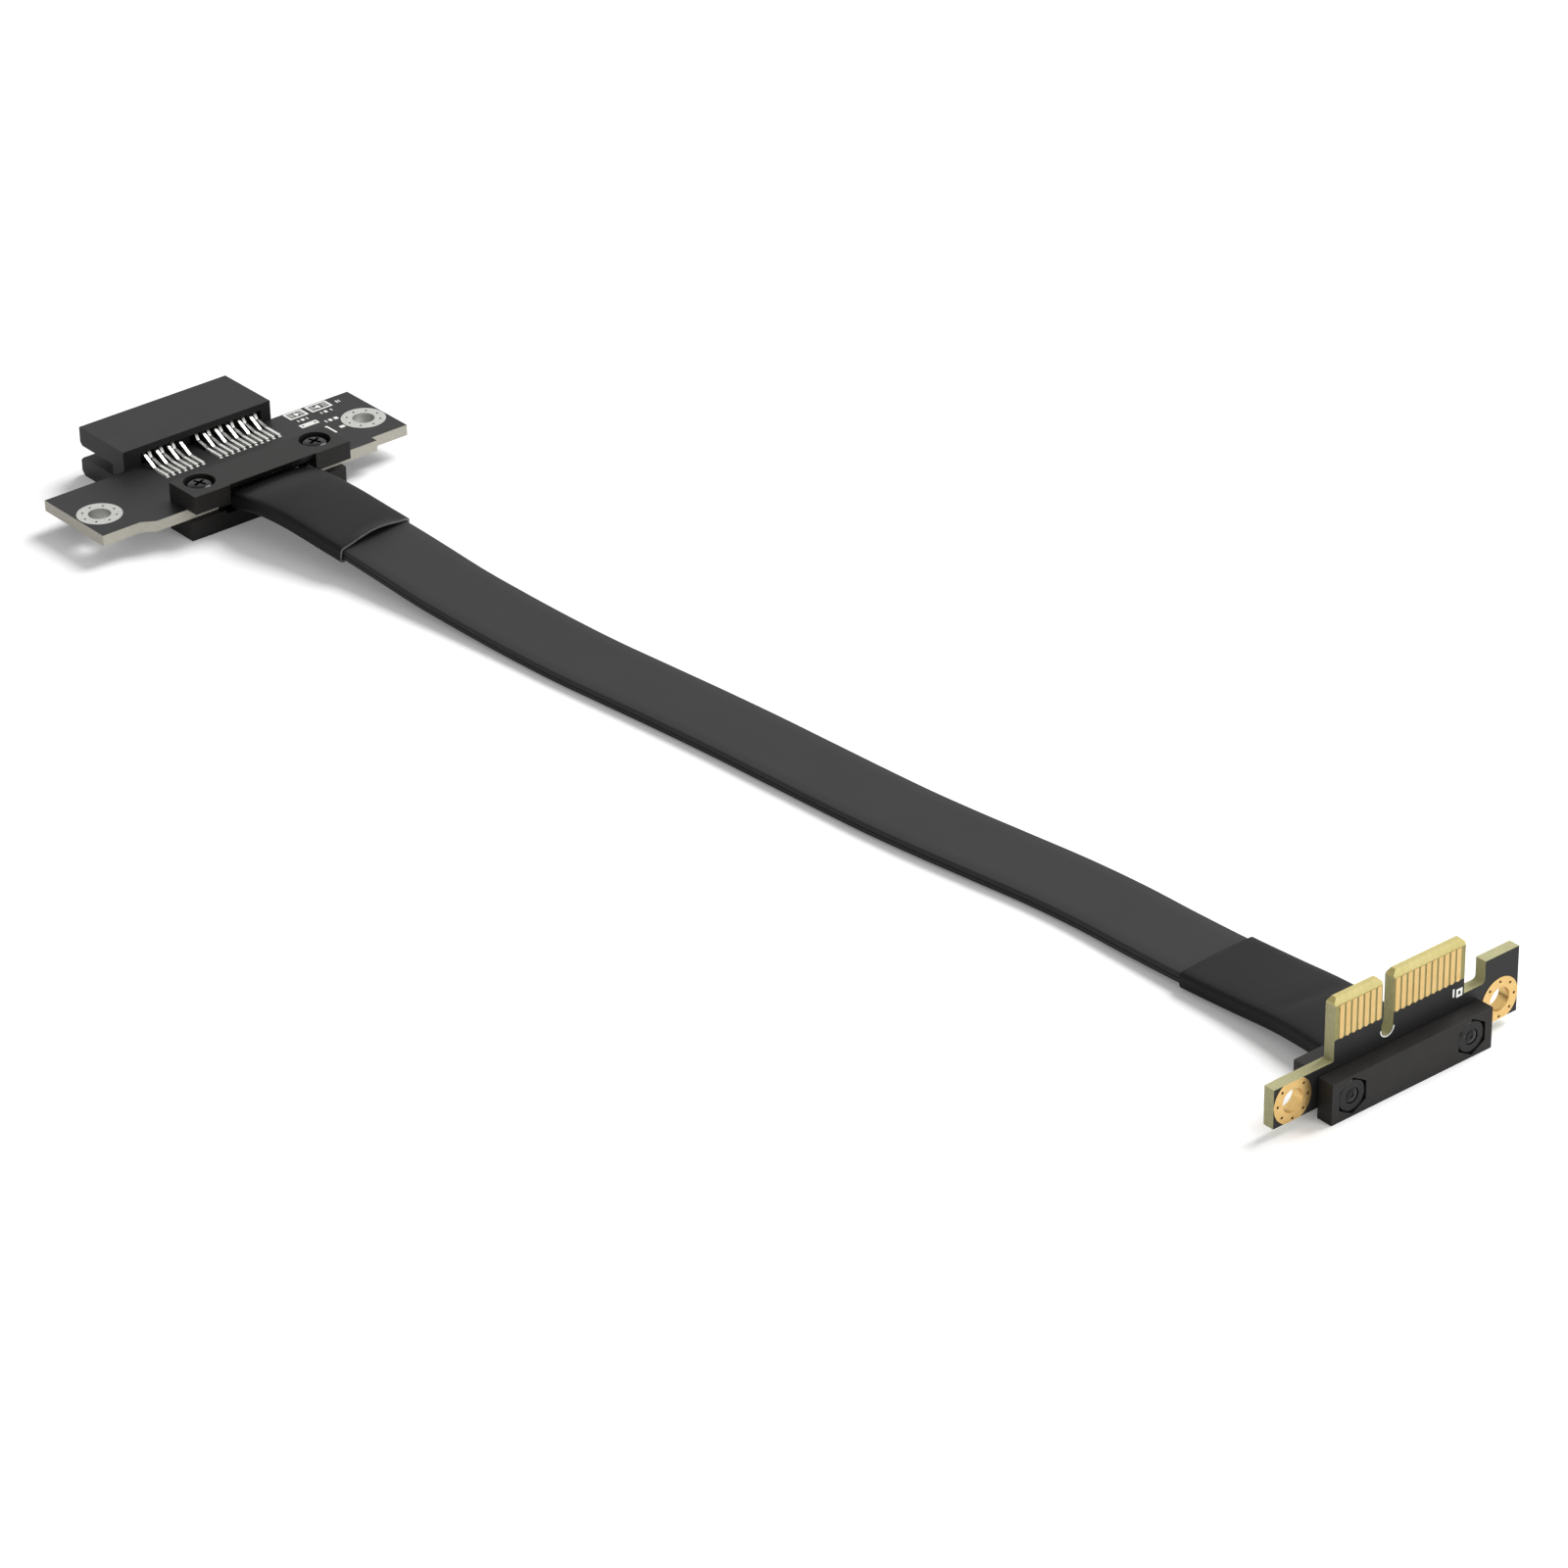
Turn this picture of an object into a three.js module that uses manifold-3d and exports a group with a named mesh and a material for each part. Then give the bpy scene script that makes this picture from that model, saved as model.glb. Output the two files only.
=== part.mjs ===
// A flat-cable riser for a one-lane expansion card: a card socket on a small board at one end,
// a card-edge plug board at the other, and a flat cable held between clamp blocks at each.
// Millimetres, +Z up, standing on z = 0. X runs from the socket to the plug, Y along both boards,
// and the origin is the centre of the footprint of the two rigid ends.

import * as THREE from 'three';
import { mergeVertices } from 'three/addons/utils/BufferGeometryUtils.js';
import Module from 'manifold-3d';

const wasm = await Module();
wasm.setup();

// Layout of the two ends
const endSpacing = 223;        // socket board's back edge to plug board's front face
const endOffset = 14.7;        // sideways step of the plug from the socket
const seatGap = 0.05;          // between parts that are fastened or soldered together
const cut = 1;                 // how far a cutting tool runs past the face it cuts

// Card edge and contact pattern
const pinPitch = 1;
const shortGroupCount = 7;     // pins 18 to 12
const longGroupCount = 11;     // pins 11 to 1
const groupStep = 3;           // pin 12 to pin 11, across the key
const keyWidth = 1.9;
const keyWallWidth = 1.6;

// Socket housing
const housingLength = 25;
const housingDepth = 10.9;
const housingThickness = 7.4;
const housingChamfer = 0.7;
const pinShift = 0.6;          // the pins' centre lies towards the closed end
const slotWidth = 1.8;
const slotDepth = 8;
const slotLeadIn = 0.5;
const slotEndRoom = 1.25;      // from pin 1 to the slot's closed end
const recessDepth = 1.5;
const recessLip = 1.05;        // housing above the tails where they come out
const recessRoom = 0.7;        // from the outermost tails to the recess's ends

// Contacts
const contactThickness = 0.25;
const contactWidth = 0.5;
const channelWidth = 0.7;
const channelDepth = 1.05;     // from the slot's wall outwards
const channelStart = 1;        // from the mouth
const tipSetBack = 1.3;
const bulgeSetBack = 2.7;
const bulgeClearance = 0.6;    // half the gap between two facing bulges
const rootSetBack = 7.2;
const contactSeat = 0.15;      // from a contact's back to its channel's floor
const tipDip = 0.1;            // the tip turns in by this much
const drop = 0.5;              // how far above the foot an inner tail bends
const tailRise = 2.3;          // height of the tails above the middle plane
const kneeReach = 2.2;         // board's back edge to where a foot starts
const footReach = 5.3;         // board's back edge to the foot's end

// Socket board
const boardThickness = 1.6;
const socketBoardLength = 51.5;
const socketBoardWidth = 14.25;
const socketBoardStep = 1.2;   // the middle stands this much further out than the ends
const stepInset = 6.1;         // from the board's end to the step
const stepRun = 2;             // length of the slope between the two
const socketRingX = 8.5;
const socketRingInset = 3.35;
const socketRingRadius = 3.2;

// Plated mounting rings
const mountHoleRadius = 1.6;
const viaRadius = 0.2;
const viaCount = 8;
const viaCircleRadius = 2.4;
const platingThickness = 0.05;

// Plug board, measured from its bottom edge and from the middle of its finger row
const plugEarLeftLength = 9.5;
const plugEarLeftHeight = 5.3;
const plugLeftEdge = 7.65;     // key's side to the card edge's left end
const plugRightEdge = 11.65;   // key's side to the card edge's right end
const plugHeight = 13.6;
const plugCorner = 0.5;
const plugBevelHeight = 0.9;
const plugBevelDepth = 0.45;
const plugNotchWidth = 3.5;
const plugNotchFloor = 6;
const plugEarRightWidth = 5.6;
const plugEarRightHeight = 8.95;
const keyDepth = 8.2;
const fingerBottom = 8.05;
const fingerTop = 12.65;
const fingerWidth = 0.7;
const plugRingZ = 2.75;
const plugRingInset = 3;
const plugRingRadius = 3;
const keyArcCount = 9;         // points on the key's round bottom
const smallArcCount = 5;       // points on a fillet or a finger's end

// Clamp blocks, screws and nuts
const clampLength = 26.2;
const screwInset = 3.35;       // from a block's end to its screw
const screwSpacing = clampLength - 2 * screwInset;
const topClampBack = 11.4;     // board's back edge to the block's back face
const topClampDepth = 6.3;
const topClampThickness = 2.7;
const bottomClampDepth = 5.4;
const bottomClampBack = 11;
const bottomClampThickness = 2.3;
const clampShift = 0.4;        // sideways, towards the housing's closed end
const notchHalfWidth = 7.25;
const notchLegStep = 0.5;
const mouthEdge = 0.2;         // land left at the mouth's top corner
const mouthRim = 0.15;         // and how far down the roof starts
const mouthBack = 0.3;         // the roof's low end, in front of the board's edge
const notchLegHeight = 0.35;
const pocketHalfWidth = 6.3;
const pocketDepth = 0.8;
const pocketReach = 3;
const plugClampThickness = 2.4;
const plugClampBelow = 1.35;   // below the board's bottom edge, down to the floor
const plugClampHeight = 5.6;
const plugRearClampHeight = 6.1;
const windowHeight = 3.1;
const windowLength = 13.6;
const screwRadius = 1;
const screwClearance = 0.1;
const headRadius = 1.9;
const headHeight = 1.2;
const headSink = 0.25;
const counterboreRadius = 2.25;
const recessWidth = 0.5;       // one slot of the cross recess
const recessLength = 2.2;
const crossDepth = 0.7;
const nutAcrossFlats = 4;
const nutThickness = 1.6;
const nutClearance = 0.15;
const nutSink = 0.15;
const nutChamfer = 0.35;
const nutCornerTrim = 0.05;
const screwPointChamfer = 0.25;
const headChamfer = 0.4;
const headChamferInset = 0.35;
const socketScrewX = 13.9;
const plugScrewZ = 1.45;

// Flat cable and sleeves
const cableWidth = 12;
const cableThickness = 1.5;
const cableCorner = 0.35;
const sleeveClearance = 0.15;
const sleeveWall = 0.35;
const sleeveCrown = 0.3;       // how much the sleeve's top bows up in the middle
const socketSleeveInset = 0.004; // share of the run left bare inside the clamp's mouth
const socketSleeveEnd = 0.109; // share of the cable's run under the socket's sleeve
const plugSleeveStart = 0.858; // where the plug's sleeve begins on the run
const plugSleeveInset = 0.01;  // share of the run left bare inside the plug's window
const coreCount = 12;
const coreWidth = 0.5;
const coreThickness = 0.3;
const coreReach = 2.4;
const coreWeb = 0.3;
const coreMargin = 0.3;        // cable's side to the comb's

// Heights above the floor
const socketBoardBottom = housingThickness / 2 - boardThickness / 2;
const socketBoardTop = socketBoardBottom + boardThickness;
const plugBoardBottom = plugClampBelow;

// The cable's middle line, by hand, from its end in the socket's clamp: [along, across, height
// above the floor]. It is stretched and leant to fit the two ends wherever they are.
const cableStart = 16.15;      // socket board's back edge to the cable's end
const cableEnd = 2.15;         // cable's other end to the plug board's front face
const cableRoute = [
  [0, 0, 4.4], [1.3, 0.02, 4.4], [4.5, 0.1, 5.2], [8.1, 0.45, 5.35],
  [12.6, 1.25, 4.8], [18.1, 2, 4], [24.1, 2.75, 3.2], [30.6, 3.2, 2.55],
  [37.6, 3.6, 1.9], [45.6, 4.2, 1.4], [54.6, 4.85, 1.05], [64.1, 5.55, 0.92],
  [74.1, 6.6, 0.9], [84.1, 7.65, 0.9], [94.1, 8.55, 0.9], [104.1, 9.25, 0.9],
  [114.1, 9.95, 0.9], [122.1, 10.55, 0.95], [130.1, 11.45, 1], [139.1, 12.75, 1],
  [148.1, 14.1, 0.95], [157.1, 14.85, 1], [166.1, 15, 1.15], [175.1, 15.2, 1.38],
  [183.6, 15.55, 1.7], [190.6, 15.65, 2.2], [196.6, 15.25, 2.6], [201.1, 14.8, 2.75],
  [204.7, 14.75, 2.75],
];
const cableSteps = 76;
const sleeveSteps = 17;
const sleeveKnotCount = 25;

const socketX = -(endSpacing + plugClampThickness - housingDepth) / 2;
const plugX = socketX + endSpacing;
const keyMiddle = pinMiddleOfKey();
const plugLeft = keyMiddle - keyWidth / 2 - plugLeftEdge - plugEarLeftLength;
const plugCardRight = keyMiddle + keyWidth / 2 + plugRightEdge;
const plugRight = plugCardRight + plugNotchWidth + plugEarRightWidth;
const socketY = -(endOffset + plugRight - socketBoardLength / 2) / 2;
const plugY = socketY + endOffset;

// Pins run from 18 at the negative end of Y to 1 at the positive end
function pinPlaces() {
  const span = (shortGroupCount + longGroupCount - 2) * pinPitch + groupStep;
  const places = [];
  for (let i = 0; i < shortGroupCount + longGroupCount; i += 1) {
    const afterKey = i >= shortGroupCount ? groupStep - pinPitch : 0;
    places.push({ pin: shortGroupCount + longGroupCount - i, y: i * pinPitch + afterKey - span / 2 });
  }
  return places;
}

function pinMiddleOfKey() {
  const places = pinPlaces();
  return (places[shortGroupCount - 1].y + places[shortGroupCount].y) / 2;
}

// Solids and meshes

function toSolid(geometry) {
  const bare = geometry.clone();
  bare.deleteAttribute('normal');
  bare.deleteAttribute('uv');
  const merged = mergeVertices(bare, 1e-5);
  return new wasm.Manifold(new wasm.Mesh({
    numProp: 3,
    vertProperties: new Float32Array(merged.attributes.position.array),
    triVerts: new Uint32Array(merged.index.array),
  }));
}

function toGeometry(solid) {
  const mesh = solid.getMesh();
  const geometry = new THREE.BufferGeometry();
  geometry.setAttribute('position', new THREE.BufferAttribute(mesh.vertProperties, 3));
  geometry.setIndex(new THREE.BufferAttribute(mesh.triVerts, 1));
  geometry.computeVertexNormals();
  return geometry;
}

// A box given by its lowest and highest corners
function block(low, high) {
  const size = high.map((value, i) => value - low[i]);
  const geometry = new THREE.BoxGeometry(...size);
  geometry.translate(...low.map((value, i) => value + size[i] / 2));
  return toSolid(geometry);
}

function outline(points) {
  return new THREE.Shape(points.map(([x, y]) => new THREE.Vector2(x, y)));
}

function circlePoints(x, y, radius, sides) {
  return Array.from({ length: sides }, (_, i) => {
    const turn = (i / sides) * 2 * Math.PI;
    return [x + radius * Math.cos(turn), y + radius * Math.sin(turn)];
  });
}

function extruded(points, from, to) {
  const geometry = new THREE.ExtrudeGeometry(outline(points), { depth: to - from, bevelEnabled: false });
  geometry.translate(0, 0, from);
  return geometry;
}

// An outline in X and Y, extruded upwards in Z
function plate(points, from, to) {
  return toSolid(extruded(points, from, to));
}

// An outline in Y and Z, extruded along X
function upright(points, from, to) {
  const axes = new THREE.Matrix4().makeBasis(
    new THREE.Vector3(0, 1, 0), new THREE.Vector3(0, 0, 1), new THREE.Vector3(1, 0, 0));
  return toSolid(extruded(points, from, to).applyMatrix4(axes));
}

// An outline in X and Z, extruded along Y
function profile(points, from, to) {
  const axes = new THREE.Matrix4().makeBasis(
    new THREE.Vector3(0, 0, 1), new THREE.Vector3(1, 0, 0), new THREE.Vector3(0, 1, 0));
  const swapped = points.map(([x, z]) => [z, x]);
  return toSolid(extruded(swapped, from, to).applyMatrix4(axes));
}

const mirrored = (points) => points.map(([x, z]) => [x, -z]);

// A bent strip of even thickness along a line of points in X and Z
function stripOutline(points, thickness) {
  const sides = [[], []];
  points.forEach((point, i) => {
    const before = points[Math.max(i - 1, 0)];
    const after = points[Math.min(i + 1, points.length - 1)];
    const normals = [[before, point], [point, after]]
      .filter(([a, b]) => a !== b)
      .map(([a, b]) => new THREE.Vector2(a[1] - b[1], b[0] - a[0]).normalize());
    const miter = normals.reduce((sum, n) => sum.clone().add(n)).normalize();
    const reach = thickness / 2 / miter.dot(normals[0]);
    sides[0].push([point[0] + miter.x * reach, point[1] + miter.y * reach]);
    sides[1].unshift([point[0] - miter.x * reach, point[1] - miter.y * reach]);
  });
  return [...sides[0], ...sides[1]];
}

// Finishes

const finish = {
  housing: { color: 0x454343, roughness: 0.55, metalness: 0 },
  mask: { color: 0x3f3f3f, roughness: 0.6, metalness: 0 },
  clamp: { color: 0x4a4543, roughness: 0.6, metalness: 0 },
  contact: { color: 0xe8e8e6, roughness: 0.25, metalness: 1 },
  blackSteel: { color: 0x2b2b2b, roughness: 0.35, metalness: 0.6 },
  copper: { color: 0xc88a5a, roughness: 0.4, metalness: 1 },
  cable: { color: 0x3a3939, roughness: 0.6, metalness: 0 },
  sleeve: { color: 0x2c2c2c, roughness: 0.5, metalness: 0 },
};

function named(name, solid, material) {
  const geometry = solid.isBufferGeometry ? solid : toGeometry(solid);
  const mesh = new THREE.Mesh(geometry, new THREE.MeshStandardMaterial(material));
  mesh.name = name;
  return mesh;
}

// Socket end. Its own frame: x = 0 at the board's back edge, z = 0 at the board's middle plane

function housing() {
  const mouth = -housingDepth;
  const half = housingThickness / 2;
  const end = housingLength / 2;
  const body = profile([
    [mouth, half], [0, half], [0, -half], [mouth + housingChamfer, -half],
    [mouth, -half + housingChamfer],
  ], -end, end);

  const slot = slotWidth / 2;
  const key = keyMiddle + pinShift;
  const closedEnd = -pinPlaces()[0].y + pinShift + slotEndRoom;
  const mouthProfile = [
    [mouth - cut, slot + slotLeadIn + cut], [mouth + slotLeadIn, slot], [mouth + slotDepth, slot],
    [mouth + slotDepth, -slot], [mouth + slotLeadIn, -slot], [mouth - cut, -slot - slotLeadIn - cut],
  ];
  let result = body
    .subtract(profile(mouthProfile, -end - cut, key - keyWallWidth / 2))
    .subtract(profile(mouthProfile, key + keyWallWidth / 2, closedEnd));

  // Recesses where the tails come out, above and below the land that the board butts against
  const recessLow = pinPlaces()[0].y + pinShift - recessRoom;
  const recessHigh = -pinPlaces()[0].y + pinShift + recessRoom;
  const recessTop = half - recessLip;
  for (const side of [1, -1]) {
    const z = [side * boardThickness / 2, side * recessTop].sort((a, b) => a - b);
    result = result.subtract(block([-recessDepth, recessLow, z[0]], [cut, recessHigh, z[1]]));
  }

  // One channel for each contact, from the slot's wall out through the front wall
  const wallStart = mouth + slotDepth - cut;
  const floor = slot + channelDepth;
  const channel = [
    [mouth + channelStart, slot - 0.2], [-cut / 2, slot - 0.2], [-cut / 2, recessTop],
    [wallStart, recessTop], [wallStart - cut, floor], [mouth + channelStart, floor],
  ];
  for (const { y } of pinPlaces()) {
    const low = y + pinShift - channelWidth / 2;
    result = result
      .subtract(profile(channel, low, low + channelWidth))
      .subtract(profile(mirrored(channel), low, low + channelWidth));
  }
  return result;
}

// Even pins are the outer row: they step down in front of the odd ones, which drop at once
function contactLine(pin) {
  const mouth = -housingDepth;
  const foot = boardThickness / 2 + seatGap + contactThickness / 2;
  const root = slotWidth / 2 + channelDepth - contactThickness - contactSeat;
  const inHousing = [
    [mouth + tipSetBack, root - tipDip], [mouth + bulgeSetBack, bulgeClearance + contactThickness / 2],
    [mouth + rootSetBack, root], [-recessDepth - 1, tailRise],
  ];
  const tail = pin % 2 === 0
    ? [[-0.4, tailRise], [kneeReach, foot]]
    : [[-0.7, tailRise], [-0.1, foot + drop], [kneeReach, foot]];
  return [...inHousing, ...tail, [footReach, foot]];
}

function contact(pin, y, side) {
  const line = contactLine(pin);
  const outer = stripOutline(line, contactThickness);
  const points = side > 0 ? outer : mirrored(outer);
  const low = y + pinShift - contactWidth / 2;
  return profile(points, low, low + contactWidth);
}

function socketBoardOutline() {
  const end = socketBoardLength / 2;
  const front = socketBoardWidth;
  const far = front + socketBoardStep;
  const step = end - stepInset;
  return [
    [0, -end], [front, -end], [front, -step], [far, -step + stepRun],
    [far, step], [front, step], [front, end], [0, end],
  ];
}

// A plated ring on both faces of a board, kept inside the board's outline
function ringPads(make, outlinePoints, x, y, radius, from, to) {
  const disc = make(circlePoints(x, y, radius, 36), from - platingThickness, to + platingThickness);
  const whole = make(outlinePoints, from - cut, to + cut);
  return disc.intersect(whole);
}

function ringHoles(make, x, y, from, to) {
  const holes = [make(circlePoints(x, y, mountHoleRadius, 28), from - cut, to + cut)];
  for (const [vx, vy] of circlePoints(x, y, viaCircleRadius, viaCount)) {
    holes.push(make(circlePoints(vx, vy, viaRadius, 6), from - cut, to + cut));
  }
  return holes;
}

function socketBoard() {
  const bottom = -boardThickness / 2;
  const top = boardThickness / 2;
  const points = socketBoardOutline();
  const ringY = socketBoardLength / 2 - socketRingInset;
  let result = plate(points, bottom, top);
  for (const y of [-ringY, ringY]) {
    result = result.add(ringPads(plate, points, socketRingX, y, socketRingRadius, bottom, top));
  }
  const holes = [-ringY, ringY].flatMap((y) => ringHoles(plate, socketRingX, y, bottom, top));
  for (const y of screwPlaces(clampShift)) {
    holes.push(plate(circlePoints(socketScrewX, y, screwRadius + screwClearance, 20), bottom - cut, top + cut));
  }
  for (const hole of holes) result = result.subtract(hole);
  return result;
}

function screwPlaces(shift) {
  return [-screwSpacing / 2 + shift, screwSpacing / 2 + shift];
}

function socketClampTop() {
  const bottom = boardThickness / 2 + seatGap;
  const top = bottom + topClampThickness;
  const front = topClampBack + topClampDepth;
  const low = clampShift - clampLength / 2;
  const boardFront = socketBoardWidth + socketBoardStep;
  let result = block([topClampBack, low, bottom], [front, low + clampLength, top]);

  // Bell mouth for the cable: its roof falls from the top edge down to the cable
  const roof = bottom + pocketDepth;
  result = result.subtract(profile([
    [boardFront - cut, bottom - cut], [front + cut, bottom - cut], [front + cut, top + cut],
    [front - mouthEdge, top + cut], [front - mouthEdge, top - mouthRim], [boardFront + mouthBack, roof], [boardFront - cut, roof],
  ], clampShift - notchHalfWidth, clampShift + notchHalfWidth));
  result = result.subtract(block(
    [boardFront, clampShift - notchHalfWidth - notchLegStep, bottom - cut],
    [front + cut, clampShift + notchHalfWidth + notchLegStep, bottom + notchLegHeight]));

  // Pocket over the soldered cores
  result = result.subtract(block(
    [boardFront - pocketReach, clampShift - pocketHalfWidth, bottom - cut],
    [boardFront, clampShift + pocketHalfWidth, bottom + pocketDepth]));
  for (const y of screwPlaces(clampShift)) {
    result = result
      .subtract(plate(circlePoints(socketScrewX, y, screwRadius + screwClearance, 20), bottom - cut, top + cut))
      .subtract(plate(circlePoints(socketScrewX, y, counterboreRadius, 28), headSeat(top), top + cut));
  }
  return result;
}

function headSeat(faceHeight) {
  return faceHeight - headSink - headHeight;
}

function socketClampBottom() {
  const top = -boardThickness / 2 - seatGap;
  const bottom = -housingThickness / 2;
  const front = bottomClampBack + bottomClampDepth;
  const low = clampShift - clampLength / 2;
  let result = block([bottomClampBack, low, bottom], [front, low + clampLength, top]);

  // Shallow trough under the cable, between the two screw pads
  result = result.subtract(block(
    [bottomClampBack - cut, clampShift - notchHalfWidth, bottom + bottomClampThickness],
    [front + cut, clampShift + notchHalfWidth, top + cut]));
  for (const y of screwPlaces(clampShift)) {
    result = result
      .subtract(plate(circlePoints(socketScrewX, y, screwRadius + screwClearance, 20), bottom - cut, top + cut))
      .subtract(plate(hexPoints(socketScrewX, y, nutPocketRadius()), bottom - cut, bottom + nutPocketDepth()));
  }
  return result;
}

function hexPoints(x, y, radius) {
  return circlePoints(x, y, radius, 6);
}

function nutRadius() {
  return nutAcrossFlats / Math.sqrt(3);
}

function nutPocketRadius() {
  return (nutAcrossFlats + 2 * nutClearance) / Math.sqrt(3);
}

function nutPocketDepth() {
  return nutSink + nutThickness + seatGap;
}

// A hexagon nut, bottom face at z = 0, with its corners turned down on both faces
function nut() {
  const corner = nutAcrossFlats / 2;
  const turned = new THREE.LatheGeometry([
    [0, 0], [corner, 0], [nutRadius() + nutCornerTrim, nutChamfer],
    [nutRadius() + nutCornerTrim, nutThickness - nutChamfer],
    [corner, nutThickness], [0, nutThickness],
  ].map(([r, z]) => new THREE.Vector2(r, z)), 24);
  turned.rotateX(Math.PI / 2);
  const bore = plate(circlePoints(0, 0, screwRadius + screwClearance / 2, 20), -cut, nutThickness + cut);
  return plate(hexPoints(0, 0, nutRadius()), 0, nutThickness).intersect(toSolid(turned)).subtract(bore);
}

// A screw standing on its point: the shank ends at z = 0 and the head sits on the shank
function screw(shankLength) {
  const body = new THREE.LatheGeometry([
    [0, 0], [screwRadius - screwPointChamfer, 0], [screwRadius, screwPointChamfer],
    [screwRadius, shankLength],
    [headRadius, shankLength], [headRadius, shankLength + headHeight - headChamfer],
    [headRadius - headChamferInset, shankLength + headHeight], [0, shankLength + headHeight],
  ].map(([r, z]) => new THREE.Vector2(r, z)), 28);
  body.rotateX(Math.PI / 2);
  const top = shankLength + headHeight;
  const half = recessWidth / 2;
  const reach = recessLength / 2;
  return toSolid(body)
    .subtract(block([-reach, -half, top - crossDepth], [reach, half, top + cut]))
    .subtract(block([-half, -reach, top - crossDepth], [half, reach, top + cut]));
}

// Bare cores fanned from the cable's end on to the board: a comb in X and Y, lying on z = 0
function coreComb() {
  const pitch = (cableWidth - 2 * coreWidth) / coreCount;
  let result = block([0, -cableWidth / 2 + coreMargin, 0], [coreWeb, cableWidth / 2 - coreMargin, coreThickness]);
  for (let i = 0; i < coreCount; i += 1) {
    const y = (i - (coreCount - 1) / 2) * pitch;
    result = result.add(block(
      [-coreReach, y - coreWidth / 2, 0], [coreWeb / 2, y + coreWidth / 2, coreThickness]));
  }
  return result;
}

function socketEnd() {
  const end = new THREE.Group();
  end.position.set(socketX, socketY, socketBoardBottom + boardThickness / 2);
  end.add(named('socket_board', socketBoard(), finish.mask));
  end.add(named('slot_housing', housing(), finish.housing));
  for (const { pin, y } of pinPlaces()) {
    const number = String(pin).padStart(2, '0');
    end.add(named(`contact_top_${number}`, contact(pin, y, 1), finish.contact));
    end.add(named(`contact_bottom_${number}`, contact(pin, y, -1), finish.contact));
  }
  end.add(named('socket_clamp_top', socketClampTop(), finish.clamp));
  end.add(named('socket_clamp_bottom', socketClampBottom(), finish.clamp));

  const clampTop = boardThickness / 2 + seatGap + topClampThickness;
  const floor = -housingThickness / 2;
  const nutBottom = floor + nutSink;
  const seat = headSeat(clampTop) + seatGap;
  const sides = ['left', 'right'];
  screwPlaces(clampShift).forEach((y, i) => {
    const fastener = named(`socket_screw_${sides[i]}`, screw(seat - nutBottom), finish.blackSteel);
    fastener.position.set(socketScrewX, y, nutBottom);
    const hexagon = named(`socket_nut_${sides[i]}`, nut(), finish.blackSteel);
    hexagon.position.set(socketScrewX, y, nutBottom);
    end.add(fastener, hexagon);
  });

  const comb = named('socket_core_comb', coreComb(), finish.copper);
  comb.position.set(socketBoardWidth + socketBoardStep - coreWeb, clampShift, boardThickness / 2 + seatGap);
  end.add(comb);
  return end;
}

// Plug end. Its own frame: x = 0 at the board's front face, z = 0 at its bottom edge

function plugOutline() {
  const cardLeft = plugLeft + plugEarLeftLength;
  const keyLeft = keyMiddle - keyWidth / 2;
  const keyRight = keyMiddle + keyWidth / 2;
  const keyCentre = plugHeight - keyDepth + keyWidth / 2;
  const roundBottom = Array.from({ length: keyArcCount }, (_, i) => {
    const turn = Math.PI + (i / (keyArcCount - 1)) * Math.PI;
    return [keyMiddle + keyWidth / 2 * Math.cos(turn), keyCentre + keyWidth / 2 * Math.sin(turn)];
  });
  const fillet = Array.from({ length: smallArcCount }, (_, i) => {
    const turn = -Math.PI / 2 + (i / (smallArcCount - 1)) * Math.PI / 2;
    return [
      plugCardRight + plugNotchWidth - plugCorner + plugCorner * Math.cos(turn),
      plugNotchFloor + plugCorner + plugCorner * Math.sin(turn),
    ];
  });
  return [
    [plugLeft, 0], [plugRight, 0], [plugRight, plugEarRightHeight],
    [plugCardRight + plugNotchWidth, plugEarRightHeight], ...fillet.reverse(),
    [plugCardRight, plugNotchFloor], [plugCardRight, plugHeight - plugCorner],
    [plugCardRight - plugCorner, plugHeight], [keyRight + plugCorner, plugHeight],
    [keyRight, plugHeight - plugCorner], ...roundBottom.reverse(),
    [keyLeft, plugHeight - plugCorner], [keyLeft - plugCorner, plugHeight],
    [cardLeft + plugCorner, plugHeight], [cardLeft, plugHeight - plugCorner],
    [cardLeft, plugEarLeftHeight], [plugLeft, plugEarLeftHeight],
  ];
}

// A contact finger: straight sides, with a round lower end
function fingerOutline(y) {
  const half = fingerWidth / 2;
  const round = Array.from({ length: smallArcCount }, (_, i) => {
    const turn = Math.PI + (i / (smallArcCount - 1)) * Math.PI;
    return [y + half * Math.cos(turn), fingerBottom + half + half * Math.sin(turn)];
  });
  return [...round, [y + half, fingerTop], [y - half, fingerTop]];
}

function plugBoard() {
  const back = -boardThickness;
  const points = plugOutline();
  let result = upright(points, back, 0);

  // The card edge is bevelled on both faces
  const bevelStart = plugHeight - plugBevelHeight;
  const front = [[0, bevelStart], [cut, bevelStart], [cut, plugHeight + cut],
    [-plugBevelDepth, plugHeight + cut], [-plugBevelDepth, plugHeight]];
  const rear = front.map(([x, z]) => [back - x, z]);
  result = result.subtract(profile(front, plugLeft, plugCardRight + cut));
  result = result.subtract(profile(rear, plugLeft, plugCardRight + cut));

  for (const { y } of pinPlaces()) {
    result = result.add(upright(fingerOutline(y), back - platingThickness, platingThickness));
  }
  const rings = [plugLeft + plugRingInset, plugRight - plugRingInset];
  for (const y of rings) {
    result = result.add(ringPads(upright, points, y, plugRingZ, plugRingRadius, back, 0));
  }
  const holes = rings.flatMap((y) => ringHoles(upright, y, plugRingZ, back, 0));
  for (const y of screwPlaces(0)) {
    holes.push(upright(circlePoints(y, plugScrewZ, screwRadius + screwClearance, 20), back - cut, cut));
  }
  for (const hole of holes) result = result.subtract(hole);
  return result;
}

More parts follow.
